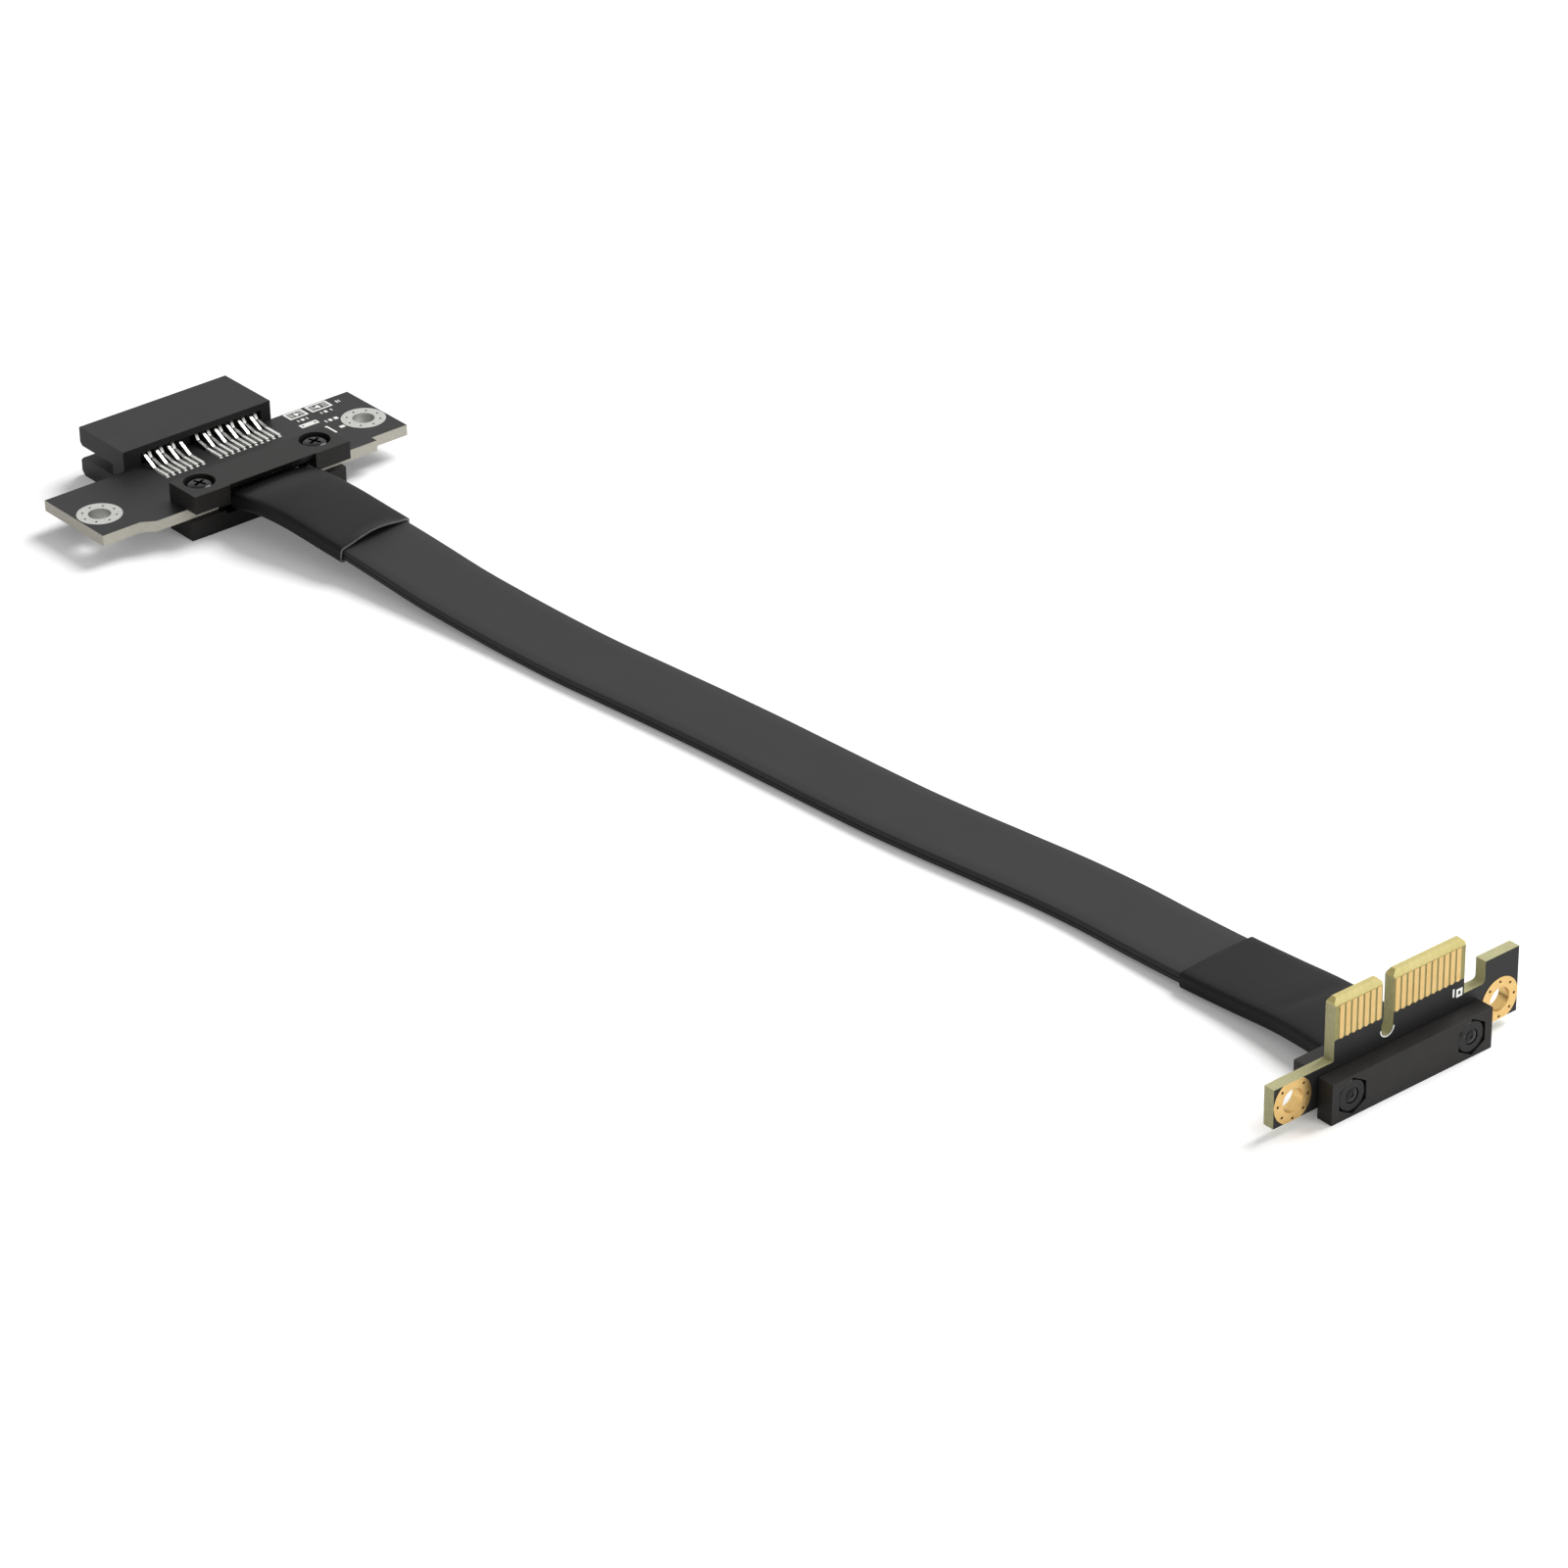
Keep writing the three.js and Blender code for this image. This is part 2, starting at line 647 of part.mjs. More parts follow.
function plugClamp(low, high, height) {
  const half = clampLength / 2;
  return block([low, -half, -plugClampBelow], [high, half, height - plugClampBelow]);
}

function plugClampFront() {
  const low = seatGap;
  const high = low + plugClampThickness;
  let result = plugClamp(low, high, plugClampHeight);
  for (const y of screwPlaces(0)) {
    const pocket = hexPoints(plugScrewZ, y, nutPocketRadius()).map(([z, across]) => [across, z]);
    result = result
      .subtract(upright(circlePoints(y, plugScrewZ, screwRadius + screwClearance, 20), low - cut, high + cut))
      .subtract(upright(pocket, high - nutPocketDepth(), high + cut));
  }
  return result;
}

function plugClampRear() {
  const high = -boardThickness - seatGap;
  const low = high - plugClampThickness;
  const cableZ = plugCableHeight();
  let result = plugClamp(low, high, plugRearClampHeight);
  result = result.subtract(block(
    [low - cut, -windowLength / 2, cableZ - windowHeight / 2],
    [high + cut, windowLength / 2, cableZ + windowHeight / 2]));
  result = result.subtract(block(
    [high - pocketDepth, -pocketHalfWidth, cableZ], [high + cut, pocketHalfWidth, cableZ + coreReach + 0.3]));
  for (const y of screwPlaces(0)) {
    result = result
      .subtract(upright(circlePoints(y, plugScrewZ, screwRadius + screwClearance, 20), low - cut, high + cut))
      .subtract(upright(circlePoints(y, plugScrewZ, counterboreRadius, 28), low - cut, low + headSink + headHeight));
  }
  return result;
}

function plugCableHeight() {
  return cableRoute[cableRoute.length - 1][2] - plugBoardBottom;
}

function plugEnd() {
  const end = new THREE.Group();
  end.position.set(plugX, plugY, plugBoardBottom);
  end.add(named('plug_board', plugBoard(), finish.mask));
  end.add(named('plug_clamp_front', plugClampFront(), finish.clamp));
  end.add(named('plug_clamp_rear', plugClampRear(), finish.clamp));

  const front = seatGap + plugClampThickness;
  const headFloor = -boardThickness - front + headSink + headHeight - seatGap;
  const point = front - nutSink;
  const sides = ['left', 'right'];
  screwPlaces(0).forEach((y, i) => {
    const fastener = named(`plug_screw_${sides[i]}`, screw(point - headFloor), finish.blackSteel);
    fastener.rotation.y = -Math.PI / 2;
    fastener.position.set(point, y, plugScrewZ);
    const hexagon = named(`plug_nut_${sides[i]}`, nut(), finish.blackSteel);
    hexagon.rotation.y = -Math.PI / 2;
    hexagon.position.set(point, y, plugScrewZ);
    end.add(fastener, hexagon);
  });

  const comb = named('plug_core_comb', coreComb(), finish.copper);
  comb.rotation.y = Math.PI / 2;
  comb.position.set(-boardThickness - seatGap - coreThickness, 0, plugCableHeight());
  end.add(comb);
  return end;
}

// Cable and sleeves. A section's first coordinate points down and its second along the width

function flatSection(halfWidth, halfThickness, corner, crown) {
  const side = halfWidth - corner;
  const rise = halfThickness - corner;
  const peak = -halfThickness - crown;
  const flat = halfWidth * 0.4;
  const top = crown > 0 ? [[peak, flat], [peak, -flat]] : [];
  return [
    [halfThickness, side], [rise, halfWidth], [-rise, halfWidth], [-halfThickness, side],
    ...top,
    [-halfThickness, -side], [-rise, -halfWidth], [rise, -halfWidth], [halfThickness, -side],
  ];
}

// A smooth line whose frames stay level across, so that a flat section never rolls on it
class LevelCurve extends THREE.CatmullRomCurve3 {
  computeFrenetFrames(segments) {
    const up = new THREE.Vector3(0, 0, 1);
    const tangents = Array.from({ length: segments + 1 }, (_, i) => this.getTangentAt(i / segments));
    const binormals = tangents.map((tangent) => up.clone().cross(tangent).normalize());
    const normals = tangents.map((tangent, i) => binormals[i].clone().cross(tangent).normalize());
    return { tangents, normals, binormals };
  }
}

function routeCurve() {
  const [run, drift] = cableRoute[cableRoute.length - 1];
  const stretch = (endSpacing - cableStart - cableEnd) / run;
  const lean = endOffset / drift;
  return new LevelCurve(cableRoute.map(([x, y, z]) => new THREE.Vector3(
    socketX + cableStart + x * stretch, socketY + y * lean, z)));
}

function flatCable() {
  const section = flatSection(cableWidth / 2, cableThickness / 2, cableCorner, 0);
  return new THREE.ExtrudeGeometry(outline(section), { steps: cableSteps, extrudePath: routeCurve() });
}

function sleeve(from, to) {
  const whole = routeCurve();
  const points = Array.from({ length: sleeveKnotCount }, (_, i) => (
    whole.getPointAt(from + (i / (sleeveKnotCount - 1)) * (to - from))));
  const curve = new LevelCurve(points);
  const innerHalf = cableWidth / 2 + sleeveClearance;
  const innerRise = cableThickness / 2 + sleeveClearance;
  const shape = outline(flatSection(
    innerHalf + sleeveWall, innerRise + sleeveWall, cableCorner + sleeveWall, sleeveCrown));
  shape.holes.push(new THREE.Path(flatSection(innerHalf, innerRise, cableCorner, sleeveCrown)
    .map(([x, y]) => new THREE.Vector2(x, y))));
  return new THREE.ExtrudeGeometry(shape, { steps: sleeveSteps, extrudePath: curve });
}

function plain(geometry) {
  return toGeometry(toSolid(geometry));
}

const riser = new THREE.Group();
riser.add(socketEnd(), plugEnd());
riser.add(named('flat_cable', plain(flatCable()), finish.cable));
riser.add(named('socket_sleeve', plain(sleeve(socketSleeveInset, socketSleeveEnd)), finish.sleeve));
riser.add(named('plug_sleeve', plain(sleeve(plugSleeveStart, 1 - plugSleeveInset)), finish.sleeve));

export default riser;
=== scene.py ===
import math

import bpy
import numpy as np
from mathutils import Matrix, Vector


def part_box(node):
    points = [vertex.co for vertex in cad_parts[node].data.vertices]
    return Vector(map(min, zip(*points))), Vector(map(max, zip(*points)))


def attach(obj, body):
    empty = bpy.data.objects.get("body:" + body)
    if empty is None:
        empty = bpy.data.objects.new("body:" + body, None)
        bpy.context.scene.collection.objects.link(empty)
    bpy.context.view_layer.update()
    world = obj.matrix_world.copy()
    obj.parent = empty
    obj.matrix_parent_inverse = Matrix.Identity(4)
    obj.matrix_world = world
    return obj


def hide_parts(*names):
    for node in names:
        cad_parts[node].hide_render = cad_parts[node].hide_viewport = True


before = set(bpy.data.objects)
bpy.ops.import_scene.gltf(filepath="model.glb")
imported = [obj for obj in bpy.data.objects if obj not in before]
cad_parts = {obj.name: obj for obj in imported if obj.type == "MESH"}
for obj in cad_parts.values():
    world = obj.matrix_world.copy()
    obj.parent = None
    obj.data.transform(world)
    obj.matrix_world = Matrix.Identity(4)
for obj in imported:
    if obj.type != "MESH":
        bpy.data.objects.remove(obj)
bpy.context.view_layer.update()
print("frame loaded:", len(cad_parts), "CAD nodes")

mm = 0.001


# camera

view = {
    "place": (0.54007, -0.42729, 0.38491),
    "azimuth": 50.818,
    "elevation": 29.591,
    "roll": 1.047,
    "lens": 140.48,
    "sensor": 36.0,
}


def addCamera():
    data = bpy.data.cameras.new("camera")
    data.lens = view["lens"]
    data.sensor_width = view["sensor"]
    data.clip_start = 0.05
    data.clip_end = 20
    camera = bpy.data.objects.new("camera", data)
    bpy.context.scene.collection.objects.link(camera)
    turn = (
        Matrix.Rotation(math.radians(view["azimuth"]), 4, "Z")
        @ Matrix.Rotation(math.radians(90 - view["elevation"]), 4, "X")
        @ Matrix.Rotation(math.radians(-view["roll"]), 4, "Z")
    )
    camera.matrix_world = Matrix.Translation(view["place"]) @ turn
    bpy.context.scene.camera = camera


addCamera()
print("camera placed")


# helpers for modelling

def deselect():
    if bpy.context.mode != "OBJECT":
        bpy.ops.object.mode_set(mode="OBJECT")
    bpy.ops.object.select_all(action="DESELECT")


def activate(piece):
    deselect()
    piece.select_set(True)
    bpy.context.view_layer.objects.active = piece


def editAll(piece):
    activate(piece)
    bpy.ops.object.mode_set(mode="EDIT")
    bpy.ops.mesh.select_all(action="SELECT")


def faceOutward():
    # ends a round of editing, with every face turned outward
    bpy.ops.mesh.select_all(action="SELECT")
    bpy.ops.mesh.normals_make_consistent(inside=False)
    bpy.ops.object.mode_set(mode="OBJECT")


def weld(piece):
    # doubled points merge, and faces in one plane become one
    editAll(piece)
    bpy.ops.mesh.remove_doubles(threshold=0.002 * mm)
    bpy.ops.mesh.dissolve_limited(angle_limit=math.radians(0.5))
    faceOutward()


def settle(piece, name):
    # the place goes into the mesh, and the object back to the origin
    activate(piece)
    bpy.ops.object.transform_apply(location=True, rotation=True, scale=True)
    piece.name = name
    piece.data.name = name
    return piece


def applyModifier(piece, kind, **settings):
    activate(piece)
    modifier = piece.modifiers.new(kind.lower(), kind)
    for key, value in settings.items():
        setattr(modifier, key, value)
    bpy.ops.object.modifier_apply(modifier=modifier.name)


def remove(*pieces):
    for piece in pieces:
        bpy.data.objects.remove(piece)


def smooth(piece, angle=32):
    activate(piece)
    bpy.ops.object.shade_smooth_by_angle(angle=math.radians(angle))


def pickEdges(piece, wanted):
    # from object mode: selects the edges that wanted() takes, and opens edit mode
    activate(piece)
    bpy.ops.object.mode_set(mode="EDIT")
    bpy.ops.mesh.select_mode(type="EDGE")
    bpy.ops.mesh.select_all(action="DESELECT")
    bpy.ops.object.mode_set(mode="OBJECT")
    mesh = piece.data
    for edge in mesh.edges:
        edge.select = wanted(*(mesh.vertices[i].co for i in edge.vertices))
    bpy.ops.object.mode_set(mode="EDIT")


def joined(pieces, name):
    deselect()
    for piece in pieces:
        piece.select_set(True)
    bpy.context.view_layer.objects.active = pieces[0]
    bpy.ops.object.join()
    pieces[0].name = pieces[0].data.name = name
    return pieces[0]


def repeated(template, places, name):
    copies = []
    for place in places:
        copy = bpy.data.objects.new(name, template.data.copy())
        copy.data.transform(place)
        bpy.context.scene.collection.objects.link(copy)
        copies.append(copy)
    remove(template)
    return joined(copies, name)


def mount(piece, slotName, *nodes):
    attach(piece, "root")
    if nodes:
        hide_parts(*nodes)


# materials

def toLinear(hexColour):
    channels = [int(hexColour[i:i + 2], 16) / 255 for i in (1, 3, 5)]
    return tuple(
        c / 12.92 if c <= 0.04045 else ((c + 0.055) / 1.055) ** 2.4 for c in channels
    ) + (1.0,)


def addNode(tree, kind, settings=None, inputs=None):
    node = tree.nodes.new(kind)
    for key, value in (settings or {}).items():
        setattr(node, key, value)
    for key, value in (inputs or {}).items():
        if isinstance(value, bpy.types.NodeSocket):
            tree.links.new(value, node.inputs[key])
        else:
            node.inputs[key].default_value = value
    return node


def startMaterial(name, **sockets):
    material = bpy.data.materials.new(name)
    material.use_nodes = True
    tree = material.node_tree
    shader = tree.nodes["Principled BSDF"]
    for key, value in sockets.items():
        shader.inputs[key.replace("_", " ")].default_value = value
    place = addNode(tree, "ShaderNodeTexCoord")
    return material, tree, shader, place


def perMetre(sizeInMm):
    # texture scale whose cells are this many millimetres across
    return 1 / (sizeInMm * mm)


def noise(tree, place, sizeInMm, detail):
    return addNode(tree, "ShaderNodeTexNoise", None, {
        "Vector": place.outputs["Object"], "Scale": perMetre(sizeInMm), "Detail": detail,
    }).outputs["Fac"]


def tint(tree, shader, dark, light, factor):
    colour = addNode(tree, "ShaderNodeMix", {"data_type": "RGBA"}, {
        0: factor, 6: toLinear(dark), 7: toLinear(light)})
    tree.links.new(colour.outputs[2], shader.inputs["Base Color"])


def relief(tree, shader, height, strength, depthInMm):
    bump = addNode(tree, "ShaderNodeBump", None, {
        "Height": height, "Strength": strength, "Distance": depthInMm * mm})
    tree.links.new(bump.outputs["Normal"], shader.inputs["Normal"])


def mouldedPlastic(name, dark, light, roughness, grain):
    # glass-filled nylon from a spark-eroded mould: a fine even grain breaks the gloss
    material, tree, shader, place = startMaterial(
        name, Roughness=roughness, IOR=1.53, Specular_IOR_Level=0.16)
    tint(tree, shader, dark, light, noise(tree, place, 4.0, 2.0))
    relief(tree, shader, noise(tree, place, grain, 3.0), 0.35, 0.03)
    return material


def makeSolderMask():
    # liquid photo-imaged solder mask: satin black with a faint orange-peel skin
    material, tree, shader, place = startMaterial(
        "blackSolderMask", Roughness=0.45, IOR=1.5, Specular_IOR_Level=0.22)
    tint(tree, shader, "#141414", "#1b1b1b", noise(tree, place, 6.0, 1.0))
    relief(tree, shader, noise(tree, place, 0.5, 3.0), 0.25, 0.03)
    return material


def makeLaminateEdge(name, axis, dark, light):
    # routed edge of woven glass epoxy: eight plies of 0.2 mm show as thin bands
    # (one wave of the texture is 0.314 of its unit)
    material, tree, shader, place = startMaterial(name, Roughness=0.7, IOR=1.55)
    plies = addNode(tree, "ShaderNodeTexWave", {"bands_direction": axis}, {
        "Vector": place.outputs["Object"], "Scale": 0.314 * perMetre(0.2),
        "Distortion": 1.2, "Detail": 2.0, "Detail Scale": 1.5})
    both = addNode(tree, "ShaderNodeMath", {"operation": "MULTIPLY"}, {
        0: plies.outputs["Fac"], 1: noise(tree, place, 0.35, 4.0)}).outputs["Value"]
    tint(tree, shader, dark, light, both)
    relief(tree, shader, both, 0.4, 0.04)
    return material


def makeBareLaminate():
    # epoxy glass without mask: pale yellow-green, with the cloth's 0.5 mm weave just visible
    material, tree, shader, place = startMaterial(
        "bareGlassEpoxy", Roughness=0.45, IOR=1.55)
    weave = addNode(tree, "ShaderNodeTexChecker", None, {
        "Vector": place.outputs["Object"], "Scale": perMetre(0.5)}).outputs["Fac"]
    both = addNode(tree, "ShaderNodeMath", {"operation": "MULTIPLY_ADD"}, {
        0: weave, 1: 0.15, 2: noise(tree, place, 2.5, 2.0)}).outputs["Value"]
    tint(tree, shader, "#aea057", "#c3b572", both)
    relief(tree, shader, weave, 0.15, 0.01)
    return material


def platedMetal(name, dark, light, roughness, ripple, depth):
    # a plated or solder-levelled metal skin: clean, with a slight ripple in its gloss
    material, tree, shader, place = startMaterial(name, Metallic=1.0, Roughness=roughness)
    waves = noise(tree, place, ripple, 3.0)
    tint(tree, shader, dark, light, waves)
    spread = addNode(tree, "ShaderNodeMapRange", None, {
        "Value": waves, "To Min": roughness - 0.06, "To Max": roughness + 0.08})
    tree.links.new(spread.outputs["Result"], shader.inputs["Roughness"])
    relief(tree, shader, waves, 0.5, depth)
    return material


def makeCablePvc():
    # matt extruded PVC: faint draw lines run along the cable, 0.4 mm apart
    material, tree, shader, place = startMaterial(
        "mattPvcJacket", Roughness=0.54, IOR=1.52, Specular_IOR_Level=0.2)
    along = addNode(tree, "ShaderNodeMapping", None, {
        "Vector": place.outputs["UV"], "Scale": (1 / (0.4 * mm), 1 / (30 * mm), 1.0)})
    lines = addNode(tree, "ShaderNodeTexNoise", None, {
        "Vector": along.outputs["Vector"], "Scale": 1.0, "Detail": 2.0})
    both = addNode(tree, "ShaderNodeMath", {"operation": "MULTIPLY_ADD"}, {
        0: noise(tree, place, 0.25, 2.0), 1: 0.6, 2: lines.outputs["Fac"]})
    tint(tree, shader, "#1b1a1a", "#222121", noise(tree, place, 9.0, 2.0))
    relief(tree, shader, both.outputs["Value"], 0.2, 0.03)
    return material


def makeHeatShrink():
    # recovered polyolefin sleeve: a little glossier than the cable, with soft shrink ripples
    material, tree, shader, place = startMaterial(
        "heatShrinkSleeve", Roughness=0.46, IOR=1.5, Specular_IOR_Level=0.12)
    tint(tree, shader, "#0c0c0c", "#131313", noise(tree, place, 7.0, 2.0))
    relief(tree, shader, noise(tree, place, 1.6, 3.0), 0.25, 0.08)
    return material


def makeBlackSteel():
    # oiled black oxide on steel: nearly black, and the clear film of oil gives sharp glints
    material, tree, shader, place = startMaterial(
        "oiledBlackSteel", Metallic=1.0, Roughness=0.3, Coat_Weight=0.3, Coat_Roughness=0.08)
    blotch = noise(tree, place, 0.3, 3.0)
    tint(tree, shader, "#080808", "#161616", blotch)
    relief(tree, shader, blotch, 0.5, 0.01)
    return material


def mattSkin(name, dark, light, roughness, ior, grain):
    # a matt surface whose tone drifts a little and whose relief is too fine to see
    material, tree, shader, place = startMaterial(name, Roughness=roughness, IOR=ior)
    tint(tree, shader, dark, light, noise(tree, place, grain, 3.0))
    return material


solderMask = makeSolderMask()
boardEdge = makeLaminateEdge("laminateEdge", "Z", "#a6a398", "#d8d4c6")
plugEdge = makeLaminateEdge("plugLaminateEdge", "X", "#969267", "#d0cb9c")
bareLaminate = makeBareLaminate()
# the same bare laminate as above the fingers, painted darker as the shade that falls between
# them
fingerGapShade = mattSkin("glassEpoxyPaintedShade", "#6f6a3a", "#8f8850", 0.6, 1.55, 0.4)
gold = platedMetal("goldPlate", "#cda760", "#dfbf85", 0.3, 0.8, 0.01)
fingerGold = platedMetal("hardGoldFingers", "#c8a564", "#d8bb85", 0.28, 0.9, 0.008)
tinLevelled = platedMetal("levelledSolder", "#a6a6a3", "#c8c8c5", 0.42, 0.35, 0.03)
tinPlate = platedMetal("tinPlatedBronze", "#bfbfbc", "#dcdcd9", 0.28, 0.4, 0.008)
tinnedCopper = platedMetal("tinnedCopper", "#8f8a84", "#b3aea8", 0.35, 0.4, 0.02)
blackSteel = makeBlackSteel()
dullSolder = platedMetal("dullSolder", "#7c7c7a", "#a2a2a0", 0.5, 0.4, 0.02)
solderFillet = platedMetal("solderFillet", "#bcbcb9", "#d8d8d5", 0.46, 0.5, 0.01)
housingNylon = mouldedPlastic("housingNylon", "#1c1b1b", "#252424", 0.48, 0.14)
clampNylon = mouldedPlastic("clampNylon", "#191817", "#232120", 0.5, 0.18)
cablePvc = makeCablePvc()
heatShrink = makeHeatShrink()
# the black sleeve's end face at its lip, painted light grey as a painted highlight on the rim
sleeveLipHighlight = mattSkin("heatShrinkLipPaintedHighlight", "#4c4c4c", "#868686", 0.6, 1.5, 0.6)
ink = mattSkin("screenPrintInk", "#dcdcd9", "#fbfbf8", 0.75, 1.5, 0.3)
print("materials made")


# flat cable and its two sleeves, on the same middle line as the CAD solids

cable = {
    "width": 12.0,
    "thickness": 1.5,
    "round": 0.28,
    "seamRound": 0.17,
    "seamDepth": 0.26,
    "topPoints": (4.0, 2.0, 0.0, -2.0, -4.0),
    "samples": 10,
    "stations": 241,
    "start": (-91.1, -4.325),
    "lean": 14.7 / 14.75,
    "route": [  # along, across, height, from the end in the socket's clamp
        (0, 0, 4.4), (1.3, 0.02, 4.4), (4.5, 0.1, 5.2), (8.1, 0.45, 5.35),
        (12.6, 1.25, 4.8), (18.1, 2, 4), (24.1, 2.75, 3.2), (30.6, 3.2, 2.55),
        (37.6, 3.6, 1.9), (45.6, 4.2, 1.4), (54.6, 4.85, 1.05), (64.1, 5.55, 0.92),
        (74.1, 6.6, 0.9), (84.1, 7.65, 0.9), (94.1, 8.55, 0.9), (104.1, 9.25, 0.9),
        (114.1, 9.95, 0.9), (122.1, 10.55, 0.95), (130.1, 11.45, 1), (139.1, 12.75, 1),
        (148.1, 14.1, 0.95), (157.1, 14.85, 1), (166.1, 15, 1.15), (175.1, 15.2, 1.38),
        (183.6, 15.55, 1.7), (190.6, 15.65, 2.2), (196.6, 15.25, 2.6), (201.1, 14.8, 2.75),
        (204.7, 14.75, 2.75),
    ],
}


def smoothLine(points, samples):
    # centripetal spline through every point
    knots = [2 * points[0] - points[1], *points, 2 * points[-1] - points[-2]]
    line = []
    for a, b, c, d in zip(knots, knots[1:], knots[2:], knots[3:]):
        before, along, after = ((q - p).length ** 0.5 for p, q in ((a, b), (b, c), (c, d)))
        leave = ((b - a) / before - (c - a) / (before + along) + (c - b) / along) * along
        arrive = ((c - b) / along - (d - b) / (along + after) + (d - c) / after) * along
        for step in range(samples):
            t = step / samples
            line.append(
                b * (2 * t ** 3 - 3 * t ** 2 + 1) + leave * (t ** 3 - 2 * t ** 2 + t)
                + c * (3 * t ** 2 - 2 * t ** 3) + arrive * (t ** 3 - t ** 2))
    line.append(points[-1])
    return line


class MiddleLine:
    def __init__(self, points):
        self.points = np.array([tuple(p) for p in points])
        steps = np.linalg.norm(np.diff(self.points, axis=0), axis=1)
        self.lengths = np.concatenate([[0], np.cumsum(steps)])
        self.total = float(self.lengths[-1])

    def at(self, distance):
        return Vector([float(np.interp(distance, self.lengths, axis)) for axis in self.points.T])

    def station(self, distance):
        # centre, sideways and upward directions, the section always level across
        reach = 0.5 * mm
        tangent = (self.at(distance + reach) - self.at(distance - reach)).normalized()
        sideways = Vector((0, 0, 1)).cross(tangent).normalized()
        return self.at(distance), sideways, tangent.cross(sideways).normalized()


def ringAt(line, distance, section):
    centre, sideways, upward = line.station(distance)
    return [centre + sideways * (across * mm) + upward * (rise * mm) for across, rise in section]


def sweptPiece(name, rings, looped):
    # rings of points joined into one closed skin, with a UV map in metres round and along
    count = len(rings[0])
    spans = len(rings) if looped else len(rings) - 1
    vertices = [tuple(point) for ring in rings for point in ring]
    faces, corners = [], []
    around = [0.0]
    for k in range(count):
        around.append(around[-1] + (rings[0][(k + 1) % count] - rings[0][k]).length)
    along = [0.0]
    for i in range(len(rings)):
        along.append(along[-1] + (rings[(i + 1) % len(rings)][0] - rings[i][0]).length)
    for i in range(spans):
        j = (i + 1) % len(rings)
        for k in range(count):
            m = (k + 1) % count
            faces.append((i * count + k, i * count + m, j * count + m, j * count + k))
            corners.append([(around[k], along[i]), (around[k + 1], along[i]),
                            (around[k + 1], along[i + 1]), (around[k], along[i + 1])])
    if not looped:
        for ring, turned in ((0, True), (len(rings) - 1, False)):
            face = [ring * count + k for k in range(count)]
            faces.append(tuple(reversed(face)) if turned else tuple(face))
            corners.append([(0.0, along[ring])] * count)
    mesh = bpy.data.meshes.new(name)
    mesh.from_pydata(vertices, [], faces)
    layer = mesh.uv_layers.new(name="lengthwise")
    for face, uvs in zip(mesh.polygons, corners):
        for loop, uv in zip(face.loop_indices, uvs):
            layer.data[loop].uv = uv
    piece = bpy.data.objects.new(name, mesh)
    bpy.context.scene.collection.objects.link(piece)
    editAll(piece)
    faceOutward()
    return piece


def cableSection():
    # two bonded layers: rounded corners, and a shallow seam along the middle of each side
    half, rise = cable["width"] / 2, cable["thickness"] / 2
    r, small = cable["round"], cable["seamRound"]
    turns = [math.radians(degrees) for degrees in (0, 30, 60, 90)]
    below = [(half - r + r * math.sin(a), -rise + r - r * math.cos(a)) for a in turns]
    below += [(half - small + small * math.cos(a), small * math.sin(a) - small)
              for a in turns[:3]]
    right = below + [(half - cable["seamDepth"], 0.0)] + [(x, -y) for x, y in reversed(below)]
    top = [(x, rise) for x in cable["topPoints"]]
    left = [(-x, y) for x, y in reversed(right)]
    bottom = [(-x, -y) for x, y in top]
    return right + top + left + bottom


knots = [Vector((cable["start"][0] + x, cable["start"][1] + y * cable["lean"], z)) * mm
         for x, y, z in cable["route"]]
line = MiddleLine(smoothLine(knots, cable["samples"]))
section = cableSection()
cableStations = np.linspace(0, line.total, cable["stations"])
flatCable = sweptPiece("cableJacket", [ringAt(line, d, section) for d in cableStations], False)
flatCable.data.materials.append(cablePvc)
smooth(flatCable, 40)

sleeves = {
    "socketSleeve": {
        "from": 0.004, "to": 0.109, "rings": 64, "node": "socket_sleeve",
        "wall": 0.34, "room": 0.12, "crown": (0.28, 0.3, 0.12, 0.1),
        "lip": 0.75, "lipLength": 2.4, "lipAt": "to", "creases": ((4.4, 0.07, 0.8),),
    },
    "plugSleeve": {
        "from": 0.858, "to": 0.99, "rings": 70, "node": "plug_sleeve",
        "wall": 0.3, "room": 0.1, "crown": (0.05, 0.12, 0.28, 0.3),
        "lip": 0.12, "lipLength": 1.2, "lipAt": "from", "creases": ((15.5, 0.12, 1.2),),
    },
}

sleeveForm = {
    "outerCorner": 0.62,
    "innerCorner": 0.35,
    "crownAt": (0, 0.35, 0.75, 1),  # shares of the length that have the crowns above
}


def sleeveSection(half, rise, corner, crown, arch):
    # a flattened tube: round corners, and a top that bows up by crown, more by arch at a lip
    flat = half - corner
    points = []
    for height, turns in ((corner - rise, (-90, -60, -30, 0)), (rise - corner, (0, 30, 60, 90))):
        for turn in turns:
            a = math.radians(turn)
            points.append((flat + corner * math.cos(a), height + corner * math.sin(a)))
    for x in np.linspace(flat, -flat, 14)[1:-1]:
        share = math.cos(x / flat * math.pi / 2)
        points.append((float(x), rise + crown * share ** 0.7 + arch * share ** 1.5))
    points += [(-x, y) for x, y in reversed(points[:8])]
    points += [(-x, -rise) for x in np.linspace(flat, -flat, 8)[1:-1]]
    return points


